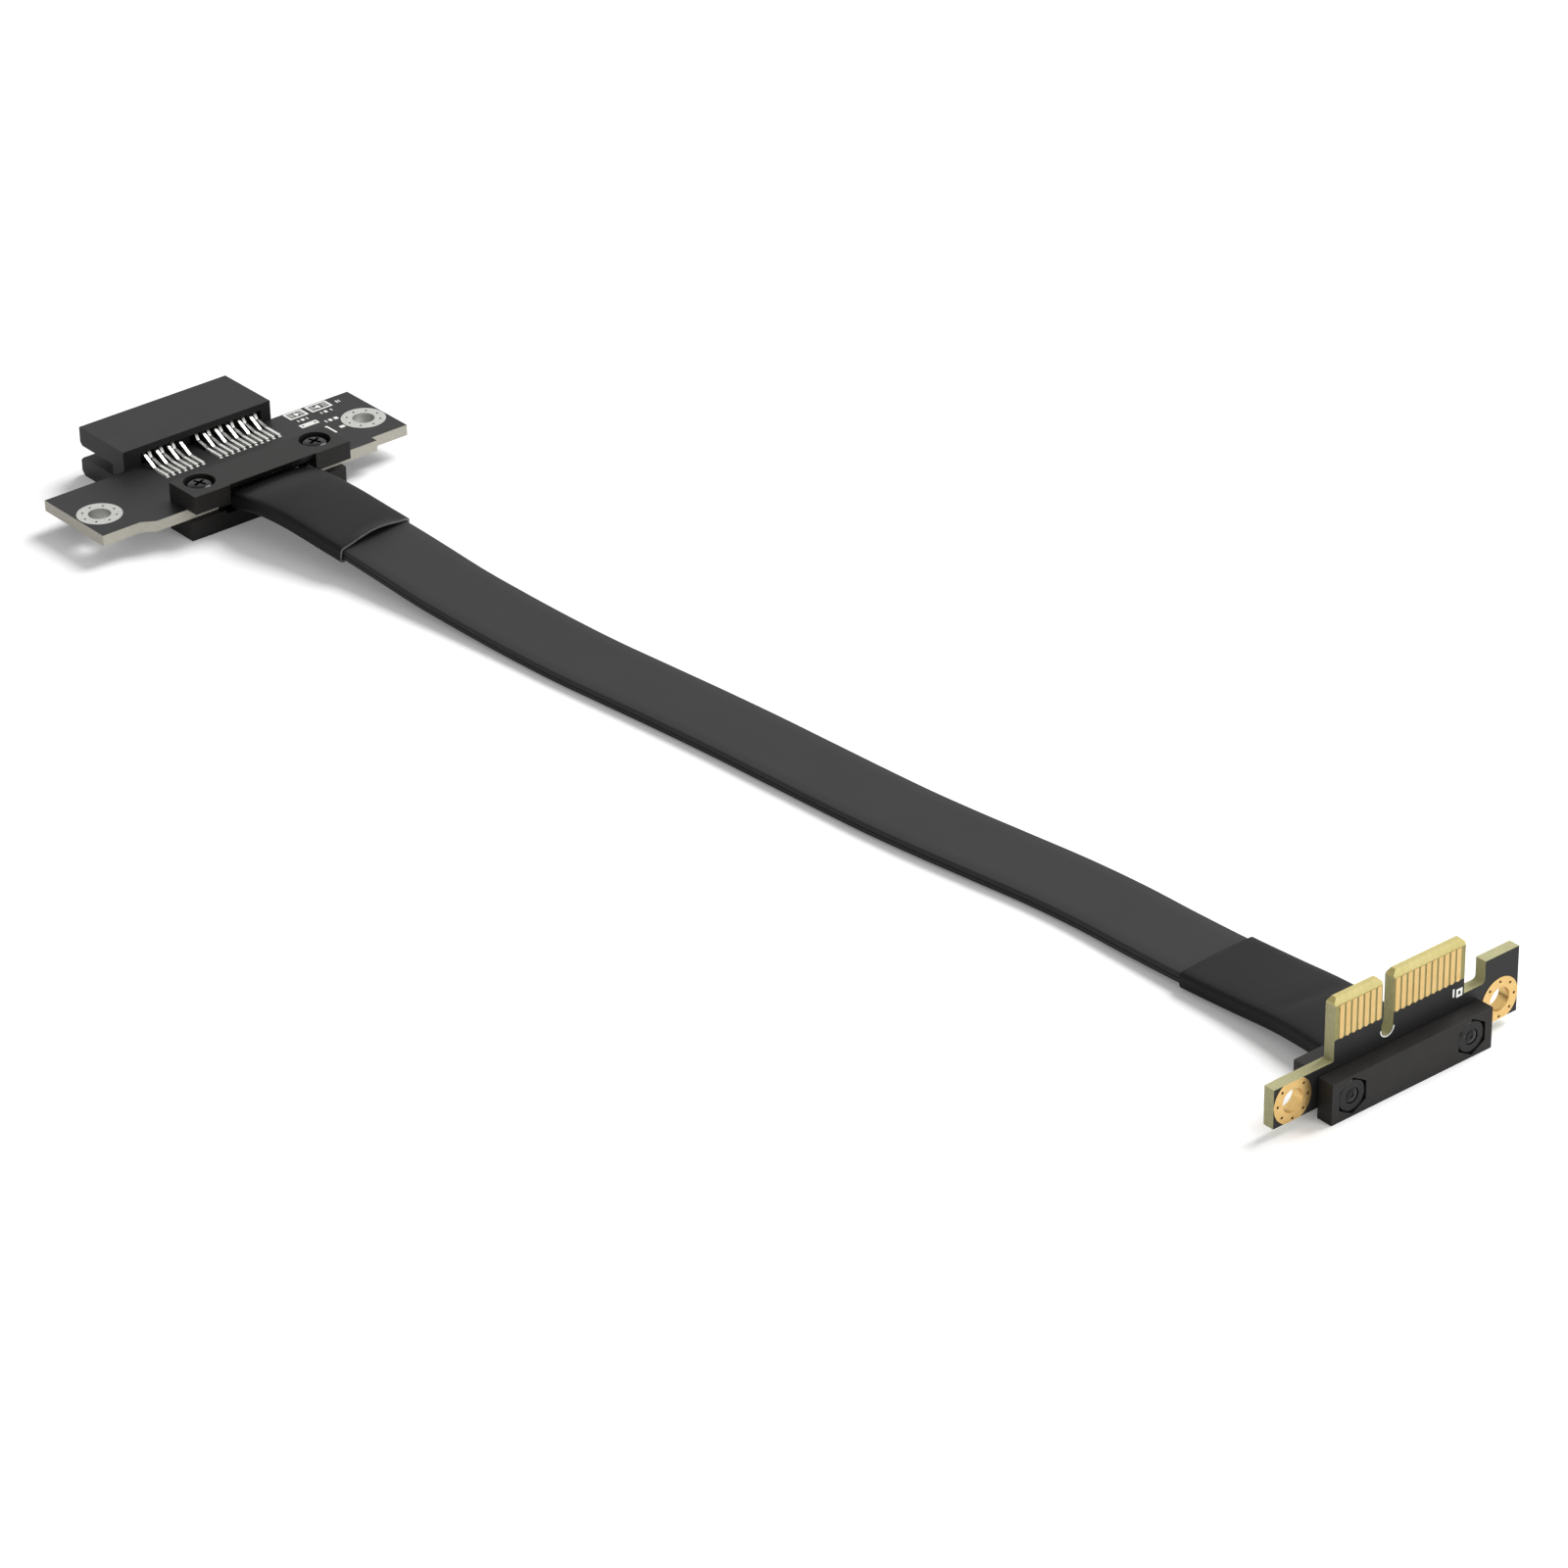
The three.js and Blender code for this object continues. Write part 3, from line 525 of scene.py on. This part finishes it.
def makeSleeve(name, sizes):
    start, end = line.total * sizes["from"], line.total * sizes["to"]
    run = (end - start) / mm
    outer, inner = [], []
    for i in range(sizes["rings"] + 1):
        share = i / sizes["rings"]
        distance = start + (end - start) * share
        crown = float(np.interp(share, sleeveForm["crownAt"], sizes["crown"]))
        fromLip = (1 - share if sizes["lipAt"] == "to" else share) * run
        arch = sizes["lip"] * max(0.0, 1 - fromLip / sizes["lipLength"]) ** 2
        dip = sum(depth * math.exp(-((share * run - at) / spread) ** 2)
                  for at, depth, spread in sizes["creases"])
        room, wall = sizes["room"], sizes["wall"]
        inHalf, inRise = cable["width"] / 2 + room, cable["thickness"] / 2 + room
        outer.append(ringAt(line, distance, sleeveSection(
            inHalf + wall, inRise + wall, sleeveForm["outerCorner"], crown - dip, arch)))
        inner.append(ringAt(line, distance, sleeveSection(
            inHalf, inRise, sleeveForm["innerCorner"], max(crown - dip, 0), arch)))
    piece = sweptPiece(name, outer + inner[::-1], True)
    piece.data.materials.append(heatShrink)
    piece.data.materials.append(sleeveLipHighlight)
    count = len(outer[0])
    # the ring of faces at the lip's end takes the painted highlight
    cut = sizes["rings"] if sizes["lipAt"] == "to" else 2 * sizes["rings"] + 1
    for face in piece.data.polygons[cut * count:(cut + 1) * count]:
        face.material_index = 1
    smooth(piece, 45)
    mount(piece, "sleeve", sizes["node"])
    return piece


sleevePieces = [makeSleeve(name, sizes) for name, sizes in sleeves.items()]
mount(flatCable, "cable", "flat_cable")
tuple(line.at(0))
[tuple(line.at(d)) for d in cableStations]
print("cable and sleeves made, length", round(line.total, 4))


# lights, floor and background

studio = {
    "skyStrength": 0.35,
    "keyStrength": 3.0,
    "keyAngle": 34,
    "keyPlace": (-0.05, 0.92, 0.98),
    "fillPower": 0.85,
    "fillSize": 0.25,
    "fillPlace": (0.45, 0.14, 0.16),
    "floorSize": 6.0,
    "floorGlow": 0.15,
    "floorWhite": 0.93,
}


def addLamp(name, kind, power, place, **settings):
    data = bpy.data.lights.new(name, kind)
    data.energy = power
    for key, value in settings.items():
        setattr(data, key, value)
    lamp = bpy.data.objects.new(name, data)
    bpy.context.scene.collection.objects.link(lamp)
    lamp.location = place
    lamp.rotation_euler = (Vector((0, 0, 0)) - Vector(place)).to_track_quat("-Z", "Y").to_euler()


def seenDirectly(tree):
    # one for rays that show a surface, seen or mirrored, and zero for rays that only light
    path = addNode(tree, "ShaderNodeLightPath")
    seen = path.outputs["Is Camera Ray"]
    for ray in ("Is Glossy Ray", "Is Transmission Ray"):
        seen = addNode(tree, "ShaderNodeMath", {"operation": "MAXIMUM"}, {
            0: seen, 1: path.outputs[ray]}).outputs["Value"]
    return seen


def makeWorld():
    # white wherever it is seen, and softer as a source of light
    world = bpy.data.worlds.new("studio")
    bpy.context.scene.world = world
    world.use_nodes = True
    tree = world.node_tree
    tree.nodes.clear()
    strength = addNode(tree, "ShaderNodeMapRange", None, {
        "Value": seenDirectly(tree), "To Min": studio["skyStrength"], "To Max": 1.0})
    sky = addNode(tree, "ShaderNodeBackground", None, {
        "Color": (1.0, 1.0, 1.0, 1.0), "Strength": strength.outputs["Result"]})
    addNode(tree, "ShaderNodeOutputWorld", None, {"Surface": sky.outputs["Background"]})


def makeFloor():
    # white paper whose glow shows where it is seen, and gives the object no light
    deselect()
    bpy.ops.mesh.primitive_plane_add(size=studio["floorSize"], location=(0, 0, 0))
    floor = settle(bpy.context.object, "floor")
    material = bpy.data.materials.new("paperSweep")
    material.use_nodes = True
    tree = material.node_tree
    tree.nodes.clear()
    white = studio["floorWhite"]
    paper = addNode(tree, "ShaderNodeBsdfDiffuse", None, {"Color": (white, white, white, 1.0)})
    glow = addNode(tree, "ShaderNodeEmission", None, {"Strength": studio["floorGlow"]})
    lit = addNode(tree, "ShaderNodeAddShader", None, {
        0: paper.outputs["BSDF"], 1: glow.outputs["Emission"]})
    chosen = addNode(tree, "ShaderNodeMixShader", None, {
        0: seenDirectly(tree), 1: paper.outputs["BSDF"], 2: lit.outputs["Shader"]})
    addNode(tree, "ShaderNodeOutputMaterial", None, {"Surface": chosen.outputs["Shader"]})
    floor.data.materials.append(material)


makeWorld()
addLamp("softKey", "SUN", studio["keyStrength"], studio["keyPlace"],
        angle=math.radians(studio["keyAngle"]))
addLamp("softFill", "AREA", studio["fillPower"], studio["fillPlace"],
        shape="DISK", size=studio["fillSize"])
makeFloor()
bpy.context.scene.view_settings.view_transform = "Standard"
print("studio set")


# rigid pieces that take the CAD solid's shape, with worked edges and face finishes

def takeShape(node, name):
    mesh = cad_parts[node].data.copy()
    mesh.name = name
    mesh.materials.clear()
    piece = bpy.data.objects.new(name, mesh)
    bpy.context.scene.collection.objects.link(piece)
    activate(piece)
    bpy.ops.mesh.customdata_custom_splitnormals_clear()
    weld(piece)
    return piece


def easeEdges(piece, radius=0.0, rim=0.05):
    # rounds the outer corners of a block, then lightly the rims of what is cut into its faces
    low = Vector([min(v.co[i] for v in piece.data.vertices) for i in range(3)])
    high = Vector([max(v.co[i] for v in piece.data.vertices) for i in range(3)])
    near = 0.003 * mm

    def sides(a, b):
        return sum(
            abs(a[i] - side[i]) < near and abs(b[i] - side[i]) < near
            for i in range(3) for side in (low, high))

    for size, wanted in ((rim, 1), (radius, 2)):
        if not size:
            continue
        pickEdges(piece, lambda a, b: sides(a, b) == wanted)
        outside = {e.index for e in piece.data.edges if e.select}
        bpy.ops.mesh.select_all(action="DESELECT")
        bpy.ops.mesh.edges_select_sharp(sharpness=math.radians(40))
        bpy.ops.object.mode_set(mode="OBJECT")
        for edge in piece.data.edges:
            edge.select = edge.select and edge.index in outside
        bpy.ops.object.mode_set(mode="EDIT")
        bpy.ops.mesh.bevel(offset=size * mm, segments=2, affect="EDGES", loop_slide=False)
        bpy.ops.object.mode_set(mode="OBJECT")


def paintFaces(piece, materials, choose):
    for material in materials:
        piece.data.materials.append(material)
    for face in piece.data.polygons:
        face.material_index = choose(face.center / mm, face.normal)


mouldings = {
    "slotHousing": ("slot_housing", "housing", housingNylon, 0.14),
    "socketClampUpper": ("socket_clamp_top", "clamp_block", clampNylon, 0.16),
    "socketClampLower": ("socket_clamp_bottom", "clamp_block", clampNylon, 0.16),
    "plugClampFace": ("plug_clamp_front", "clamp_block", clampNylon, 0.18),
    "plugClampBack": ("plug_clamp_rear", "clamp_block", clampNylon, 0.16),
}

for name, (node, slotName, material, radius) in mouldings.items():
    piece = takeShape(node, name)
    easeEdges(piece, radius)
    piece.data.materials.append(material)
    smooth(piece)
    applyModifier(piece, "WEIGHTED_NORMAL", keep_sharp=True)
    mount(piece, slotName, node)
print("mouldings made")


# circuit boards

boards = {
    "socketTop": 4.5, "socketBottom": 2.9,
    "socketRings": ((-98.75, -26.725), (-98.75, 18.075)),
    "plugFront": 115.75, "plugBack": 114.15,
    "plugRings": ((27.075, 4.1), (-6.725, 4.1)),
    "ringReach": 3.3, "holeReach": 1.9, "viaReach": 2.75, "viaTop": 6.55,
    "filledWidth": 0.44, "earReach": 2.55,
    "maskLine": 9.45, "bevelLine": 14.0, "fingerSpan": (0, 25),
    # span across the board whose edge in the clamp's mouth is painted black as shade
    "mouthShade": (-11.8, 5.0),
    "plating": 0.03,
}


def dressSocketBoard():
    piece = takeShape("socket_board", "socketBoard")
    # behind the cores, in the clamp's mouth, the board's edge is painted black with the mask as
    # painted shade
    mouthShade = boards["mouthShade"]
    for across in mouthShade:
        editAll(piece)
        bpy.ops.mesh.bisect(plane_co=(0, across * mm, 0), plane_no=(0, 1, 0), use_fill=False)
        bpy.ops.object.mode_set(mode="OBJECT")

    def choose(centre, normal):
        fromRing = min(math.dist((centre.x, centre.y), ring) for ring in boards["socketRings"])
        if abs(normal.z) > 0.5:
            raised = (centre.z > boards["socketTop"] + boards["plating"]
                      or centre.z < boards["socketBottom"] - boards["plating"])
            return 2 if raised else 0
        # edge faces in the clamp's mouth take the black mask as painted shade
        if normal.x > 0.5 and mouthShade[0] < centre.y < mouthShade[1]:
            return 0
        return 2 if fromRing < boards["ringReach"] else 1

    paintFaces(piece, [solderMask, boardEdge, tinLevelled], choose)
    smooth(piece)
    mount(piece, "circuit_board", "socket_board")


def fillTopVia(piece):
    # the left ring's topmost via lies on the ear's edge: it is filled flush
    low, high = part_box("plug_board")
    across, centre = (value * mm for value in boards["plugRings"][1])
    reach = boards["filledWidth"] / 2 * mm
    top = centre + boards["earReach"] * mm
    deselect()
    bpy.ops.mesh.primitive_cube_add(size=1, location=((low.x + high.x) / 2, across, top - reach))
    filling = bpy.context.object
    filling.scale = (high.x - low.x, 2 * reach, 2 * reach)
    filling = settle(filling, "filling")
    applyModifier(piece, "BOOLEAN", object=filling, operation="UNION", solver="EXACT")
    remove(filling)
    weld(piece)


def dressPlugBoard():
    piece = takeShape("plug_board", "plugBoard")
    fillTopVia(piece)
    face = boards["plugFront"] + boards["plating"] / 2
    back = boards["plugBack"] - boards["plating"] / 2
    fingerTop = max(v.co.z for v in piece.data.vertices
                    if v.co.x > face * mm and v.co.z > boards["maskLine"] * mm) / mm
    for height in (boards["maskLine"], fingerTop):
        editAll(piece)
        bpy.ops.mesh.bisect(plane_co=(0, 0, height * mm), plane_no=(0, 0, 1), use_fill=False)
        bpy.ops.object.mode_set(mode="OBJECT")

    def choose(centre, normal):
        fromRing = min(math.dist((centre.y, centre.z), ring) for ring in boards["plugRings"])
        if centre.x > face or centre.x < back:
            return 4 if fromRing < boards["ringReach"] else 3
        if abs(normal.x) > 0.5:
            start, end = boards["fingerSpan"]
            if not start < centre.y < end or centre.z < boards["maskLine"]:
                return 0
            # between the fingers the laminate takes the painted shade
            return 2 if centre.z > fingerTop else 5
        inHole = fromRing < boards["holeReach"]
        inVia = fromRing < boards["viaReach"] and centre.z < boards["viaTop"]
        if inHole or inVia:
            return 4
        return 2 if centre.z > boards["bevelLine"] else 1

    paintFaces(
        piece, [solderMask, plugEdge, bareLaminate, fingerGold, gold, fingerGapShade], choose)
    smooth(piece)
    mount(piece, "circuit_board", "plug_board")


dressSocketBoard()
dressPlugBoard()
print("boards made")


# contacts, with their sheared edges taken off, and their solder joints

solder = {
    "padLength": 3.7, "padWidth": 0.58, "padHeight": 0.04, "padRound": 0.16,
    "padMiddle": 3.8,
    "moundLength": 1.75, "moundWidth": 0.29, "moundHeight": 0.27,
    "boardBack": -107.25, "knee": -105.0,
}


def dressContacts():
    for node in sorted(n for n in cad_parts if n.startswith("contact_")):
        parts = node.split("_")
        piece = takeShape(node, "spring" + parts[1].capitalize() + parts[2])
        easeEdges(piece)
        paintFaces(piece, [tinPlate, solderFillet],
                   lambda centre, normal: centre.x > solder["knee"])
        smooth(piece, 18)
        mount(piece, "contact_metal", node)


def makePad():
    deselect()
    bpy.ops.mesh.primitive_cube_add(size=1, location=(0, 0, solder["padHeight"] / 2 * mm))
    pad = bpy.context.object
    pad.scale = (solder["padLength"] * mm, solder["padWidth"] * mm, solder["padHeight"] * mm)
    pad = settle(pad, "pad")
    pickEdges(pad, lambda a, b: abs(a.z - b.z) > 0.01 * mm)
    bpy.ops.mesh.bevel(offset=solder["padRound"] * mm, segments=3, affect="EDGES")
    bpy.ops.object.mode_set(mode="OBJECT")
    return pad


def makeMound():
    deselect()
    bpy.ops.mesh.primitive_uv_sphere_add(segments=20, ring_count=10, radius=1)
    mound = bpy.context.object
    mound.scale = [solder[key] * mm for key in ("moundLength", "moundWidth", "moundHeight")]
    mound = settle(mound, "mound")
    editAll(mound)
    bpy.ops.mesh.bisect(plane_co=(0, 0, 0), plane_no=(0, 0, 1), threshold=0.001 * mm,
                        use_fill=True, clear_inner=True)
    bpy.ops.object.mode_set(mode="OBJECT")
    return mound


def makeSolderJoints():
    middle = (solder["boardBack"] + solder["padMiddle"]) * mm
    for side, height, flip in (
            ("top", boards["socketTop"], 0), ("bottom", boards["socketBottom"], 180)):
        places = []
        for node in sorted(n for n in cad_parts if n.startswith("contact_" + side)):
            low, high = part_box(node)
            places.append(
                Matrix.Translation((middle, (low.y + high.y) / 2, height * mm))
                @ Matrix.Rotation(math.radians(flip), 4, "X"))
        for kind, template, material in (
                ("Pads", makePad(), tinLevelled), ("Solder", makeMound(), solderFillet)):
            piece = repeated(template, places, side + kind)
            piece.data.materials.append(material)
            smooth(piece)
            mount(piece, "contact_metal")


dressContacts()
makeSolderJoints()
print("contacts and solder made")


# screws and nuts

screwSizes = {  # the profiles are pairs of radius and height
    "sides": 36,
    "point": ((0.22, 0.14), (0.34, 0.0), (0.7, 0.0)),
    "thread": ((1.0, 0.0), (1.0, 0.06), (0.84, 0.2), (0.84, 0.26)),
    "threadStart": 0.12,
    "pitch": 0.4,
    "plainLength": 0.5,
    "collar": ((1.0, -0.2), (1.0, 0.0)),
    "head": ((1.82, 0.0), (1.9, 0.08), (1.9, 0.72), (1.81, 0.9),
             (1.6, 1.05), (1.25, 1.15), (0.9, 1.2)),
    "headHeight": 1.2,
    "cross": (2.3, 0.52, 1.0),
    "crossDepth": 0.75,
    "crossTaper": (0.62, 0.7, 1),
    "crossTurn": 20,
}


def turned(name, sides, stages):
    # a lathe-turned piece round Z: from the first radius, extruded up and resized stage by stage
    deselect()
    radius, height = stages[0]
    bpy.ops.mesh.primitive_circle_add(
        vertices=sides, radius=radius * mm, fill_type="NGON", location=(0, 0, height * mm))
    piece = settle(bpy.context.object, name)
    editAll(piece)
    for nextRadius, nextHeight in stages[1:]:
        bpy.ops.mesh.extrude_region_move(
            TRANSFORM_OT_translate={"value": (0, 0, (nextHeight - height) * mm)})
        growth = nextRadius / radius
        bpy.ops.transform.resize(
            value=(growth, growth, 1), center_override=(0, 0, nextHeight * mm))
        radius, height = nextRadius, nextHeight
    faceOutward()
    return piece


def makeCrossCutter(shank, turn):
    # one slot of the recess, narrower towards its floor
    length, width, height = screwSizes["cross"]
    floor = shank + screwSizes["headHeight"] - screwSizes["crossDepth"]
    deselect()
    bpy.ops.mesh.primitive_cube_add(size=1, location=(0, 0, (floor + height / 2) * mm))
    cutter = bpy.context.object
    cutter.scale = (length * mm, width * mm, height * mm)
    cutter = settle(cutter, "crossCutter")
    editAll(cutter)
    bpy.ops.mesh.select_mode(type="FACE")
    bpy.ops.mesh.select_all(action="DESELECT")
    bpy.ops.object.mode_set(mode="OBJECT")
    for face in cutter.data.polygons:
        face.select = face.normal.z < -0.5
    bpy.ops.object.mode_set(mode="EDIT")
    bpy.ops.transform.resize(value=screwSizes["crossTaper"], center_override=(0, 0, 0))
    bpy.ops.object.mode_set(mode="OBJECT")
    cutter.data.transform(Matrix.Rotation(math.radians(turn), 4, "Z"))
    return cutter


def makeScrew(shank):
    # stands on its point at z = 0, the head above the shank
    stages = list(screwSizes["point"])
    height = screwSizes["threadStart"]
    while height < shank - screwSizes["plainLength"]:
        stages += [(radius, height + rise) for radius, rise in screwSizes["thread"]]
        height += screwSizes["pitch"]
    for radius, rise in screwSizes["collar"] + screwSizes["head"]:
        stages.append((radius, shank + rise))
    piece = turned("screw", screwSizes["sides"], stages)
    for turn in (0, 90):
        cutter = makeCrossCutter(shank, turn + screwSizes["crossTurn"])
        applyModifier(piece, "BOOLEAN", object=cutter, operation="DIFFERENCE", solver="EXACT")
        remove(cutter)
    piece.data.materials.append(blackSteel)
    smooth(piece, 30)
    return piece


def placeScrews():
    lying = Matrix.Rotation(math.radians(-90), 4, "Y")
    for end in ("socket", "plug"):
        for side in ("left", "right"):
            low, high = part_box(f"{end}_screw_{side}")
            middle = (low + high) / 2
            if end == "socket":
                length = high.z - low.z
                place = Matrix.Translation((middle.x, middle.y, low.z))
            else:
                length = high.x - low.x
                place = Matrix.Translation((high.x, middle.y, middle.z)) @ lying
            piece = makeScrew(length / mm - screwSizes["headHeight"])
            piece.data.transform(place)
            piece.name = piece.data.name = f"{end}Screw{side.capitalize()}"
            mount(piece, "fastener", f"{end}_screw_{side}")
            nut = takeShape(f"{end}_nut_{side}", f"{end}Nut{side.capitalize()}")
            easeEdges(nut)
            nut.data.materials.append(blackSteel)
            smooth(nut)
            applyModifier(nut, "WEIGHTED_NORMAL", keep_sharp=True)
            mount(nut, "fastener", f"{end}_nut_{side}")


placeScrews()
print("screws and nuts made")


# bare cores under the clamps keep their solids

for node in ("socket_core_comb", "plug_core_comb"):
    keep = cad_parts[node].data.materials
    keep.clear()
    keep.append(tinnedCopper)


# screen print, and the bare tinned lands inside it

printed = {
    "height": 0.02,
    "lineWidth": 0.3,
    "frames": (  # x from, x to, y from, y to
        (-107.08, -105.0, 10.0, 13.1), (-107.08, -105.0, 13.75, 17.3),
        (-102.85, -101.8, 9.75, 12.7), (-98.95, -98.3, 13.9, 14.7),
    ),
    "bars": (
        (-106.5, -105.6, 11.35, 11.75), (-106.3, -105.8, 11.75, 12.0),
        (-106.5, -105.6, 15.3, 15.7), (-106.3, -105.8, 14.95, 15.3),
        (-105.95, -105.25, 18.25, 18.5), (-105.95, -105.25, 18.7, 18.85),
        (-104.35, -103.75, 10.5, 10.7), (-104.35, -103.75, 11.1, 11.6),
        (-104.35, -103.75, 12.0, 12.2), (-104.35, -103.75, 14.5, 14.7),
        (-104.35, -103.75, 15.1, 15.6), (-104.35, -103.75, 16.2, 16.4),
        (-102.5, -102.15, 10.3, 12.1), (-101.75, -101.05, 13.4, 13.6),
        (-101.75, -101.05, 14.0, 14.5), (-101.75, -101.05, 14.9, 15.5),
        (-100.15, -97.6, 12.45, 12.75), (-100.15, -99.85, 11.9, 12.45),
    ),
    "plugFrame": (19.7, 20.7, 7.25, 8.35),  # y from, y to, z from, z to
    "plugBar": (19.1, 19.36, 7.5, 8.6),
    "lands": (
        (-106.6, -105.5, 10.35, 11.15), (-106.6, -105.5, 12.1, 12.8),
        (-106.6, -105.5, 14.1, 14.8), (-106.6, -105.5, 16.0, 16.9),
    ),
    "landHeight": 0.035,
    "keyMiddle": (115.75, 8.375, 7.7),
    "arcRadius": 1.07,
    "arcWidth": 0.16,
}

socketFace = Matrix.Translation((0, 0, boards["socketTop"] * mm))
plugFace = Matrix(
    ((0, 0, 1, boards["plugFront"] * mm), (1, 0, 0, 0), (0, 1, 0, 0), (0, 0, 0, 1)))


def flatPrint(bounds, height, hollow=False, face=socketFace):
    # one printed area on a board's face: a filled bar, or an outline
    x0, x1, y0, y1 = (value * mm for value in bounds)
    deselect()
    bpy.ops.mesh.primitive_plane_add(size=1, location=((x0 + x1) / 2, (y0 + y1) / 2, 0))
    piece = bpy.context.object
    piece.scale = (x1 - x0, y1 - y0, 1)
    piece = settle(piece, "printedArea")
    editAll(piece)
    if hollow:
        bpy.ops.mesh.inset(thickness=printed["lineWidth"] * mm, depth=0)
        bpy.ops.mesh.delete(type="FACE")
        bpy.ops.mesh.select_all(action="SELECT")
    bpy.ops.mesh.extrude_region_move(TRANSFORM_OT_translate={"value": (0, 0, height * mm)})
    faceOutward()
    piece.data.transform(face)
    return piece


def finishPrint(piece, material, slotName):
    piece.data.materials.append(material)
    mount(piece, slotName)


def printKeyArc():
    # the printed rim under the key notch: a small bar spun half a turn round the notch's end
    x, y, z = (value * mm for value in printed["keyMiddle"])
    deselect()
    bpy.ops.mesh.primitive_plane_add(
        size=1, location=(x + printed["height"] / 2 * mm, y - printed["arcRadius"] * mm, z))
    piece = bpy.context.object
    piece.scale = (printed["height"] * mm, printed["arcWidth"] * mm, 1)
    piece = settle(piece, "keyArc")
    editAll(piece)
    bpy.ops.mesh.spin(steps=18, angle=-math.pi, center=(x, y, z), axis=(1, 0, 0))
    faceOutward()
    finishPrint(piece, ink, "circuit_board")


def printBoards():
    height = printed["height"]
    onSocket = [flatPrint(area, height, True) for area in printed["frames"]]
    onSocket += [flatPrint(area, height) for area in printed["bars"]]
    finishPrint(joined(onSocket, "boardPrint"), ink, "circuit_board")
    lands = [flatPrint(area, printed["landHeight"]) for area in printed["lands"]]
    finishPrint(joined(lands, "spareLands"), dullSolder, "contact_metal")
    onPlug = [flatPrint(printed["plugFrame"], height, True, plugFace),
              flatPrint(printed["plugBar"], height, False, plugFace)]
    finishPrint(joined(onPlug, "plugPrint"), ink, "circuit_board")
    printKeyArc()


printBoards()
print("print made")
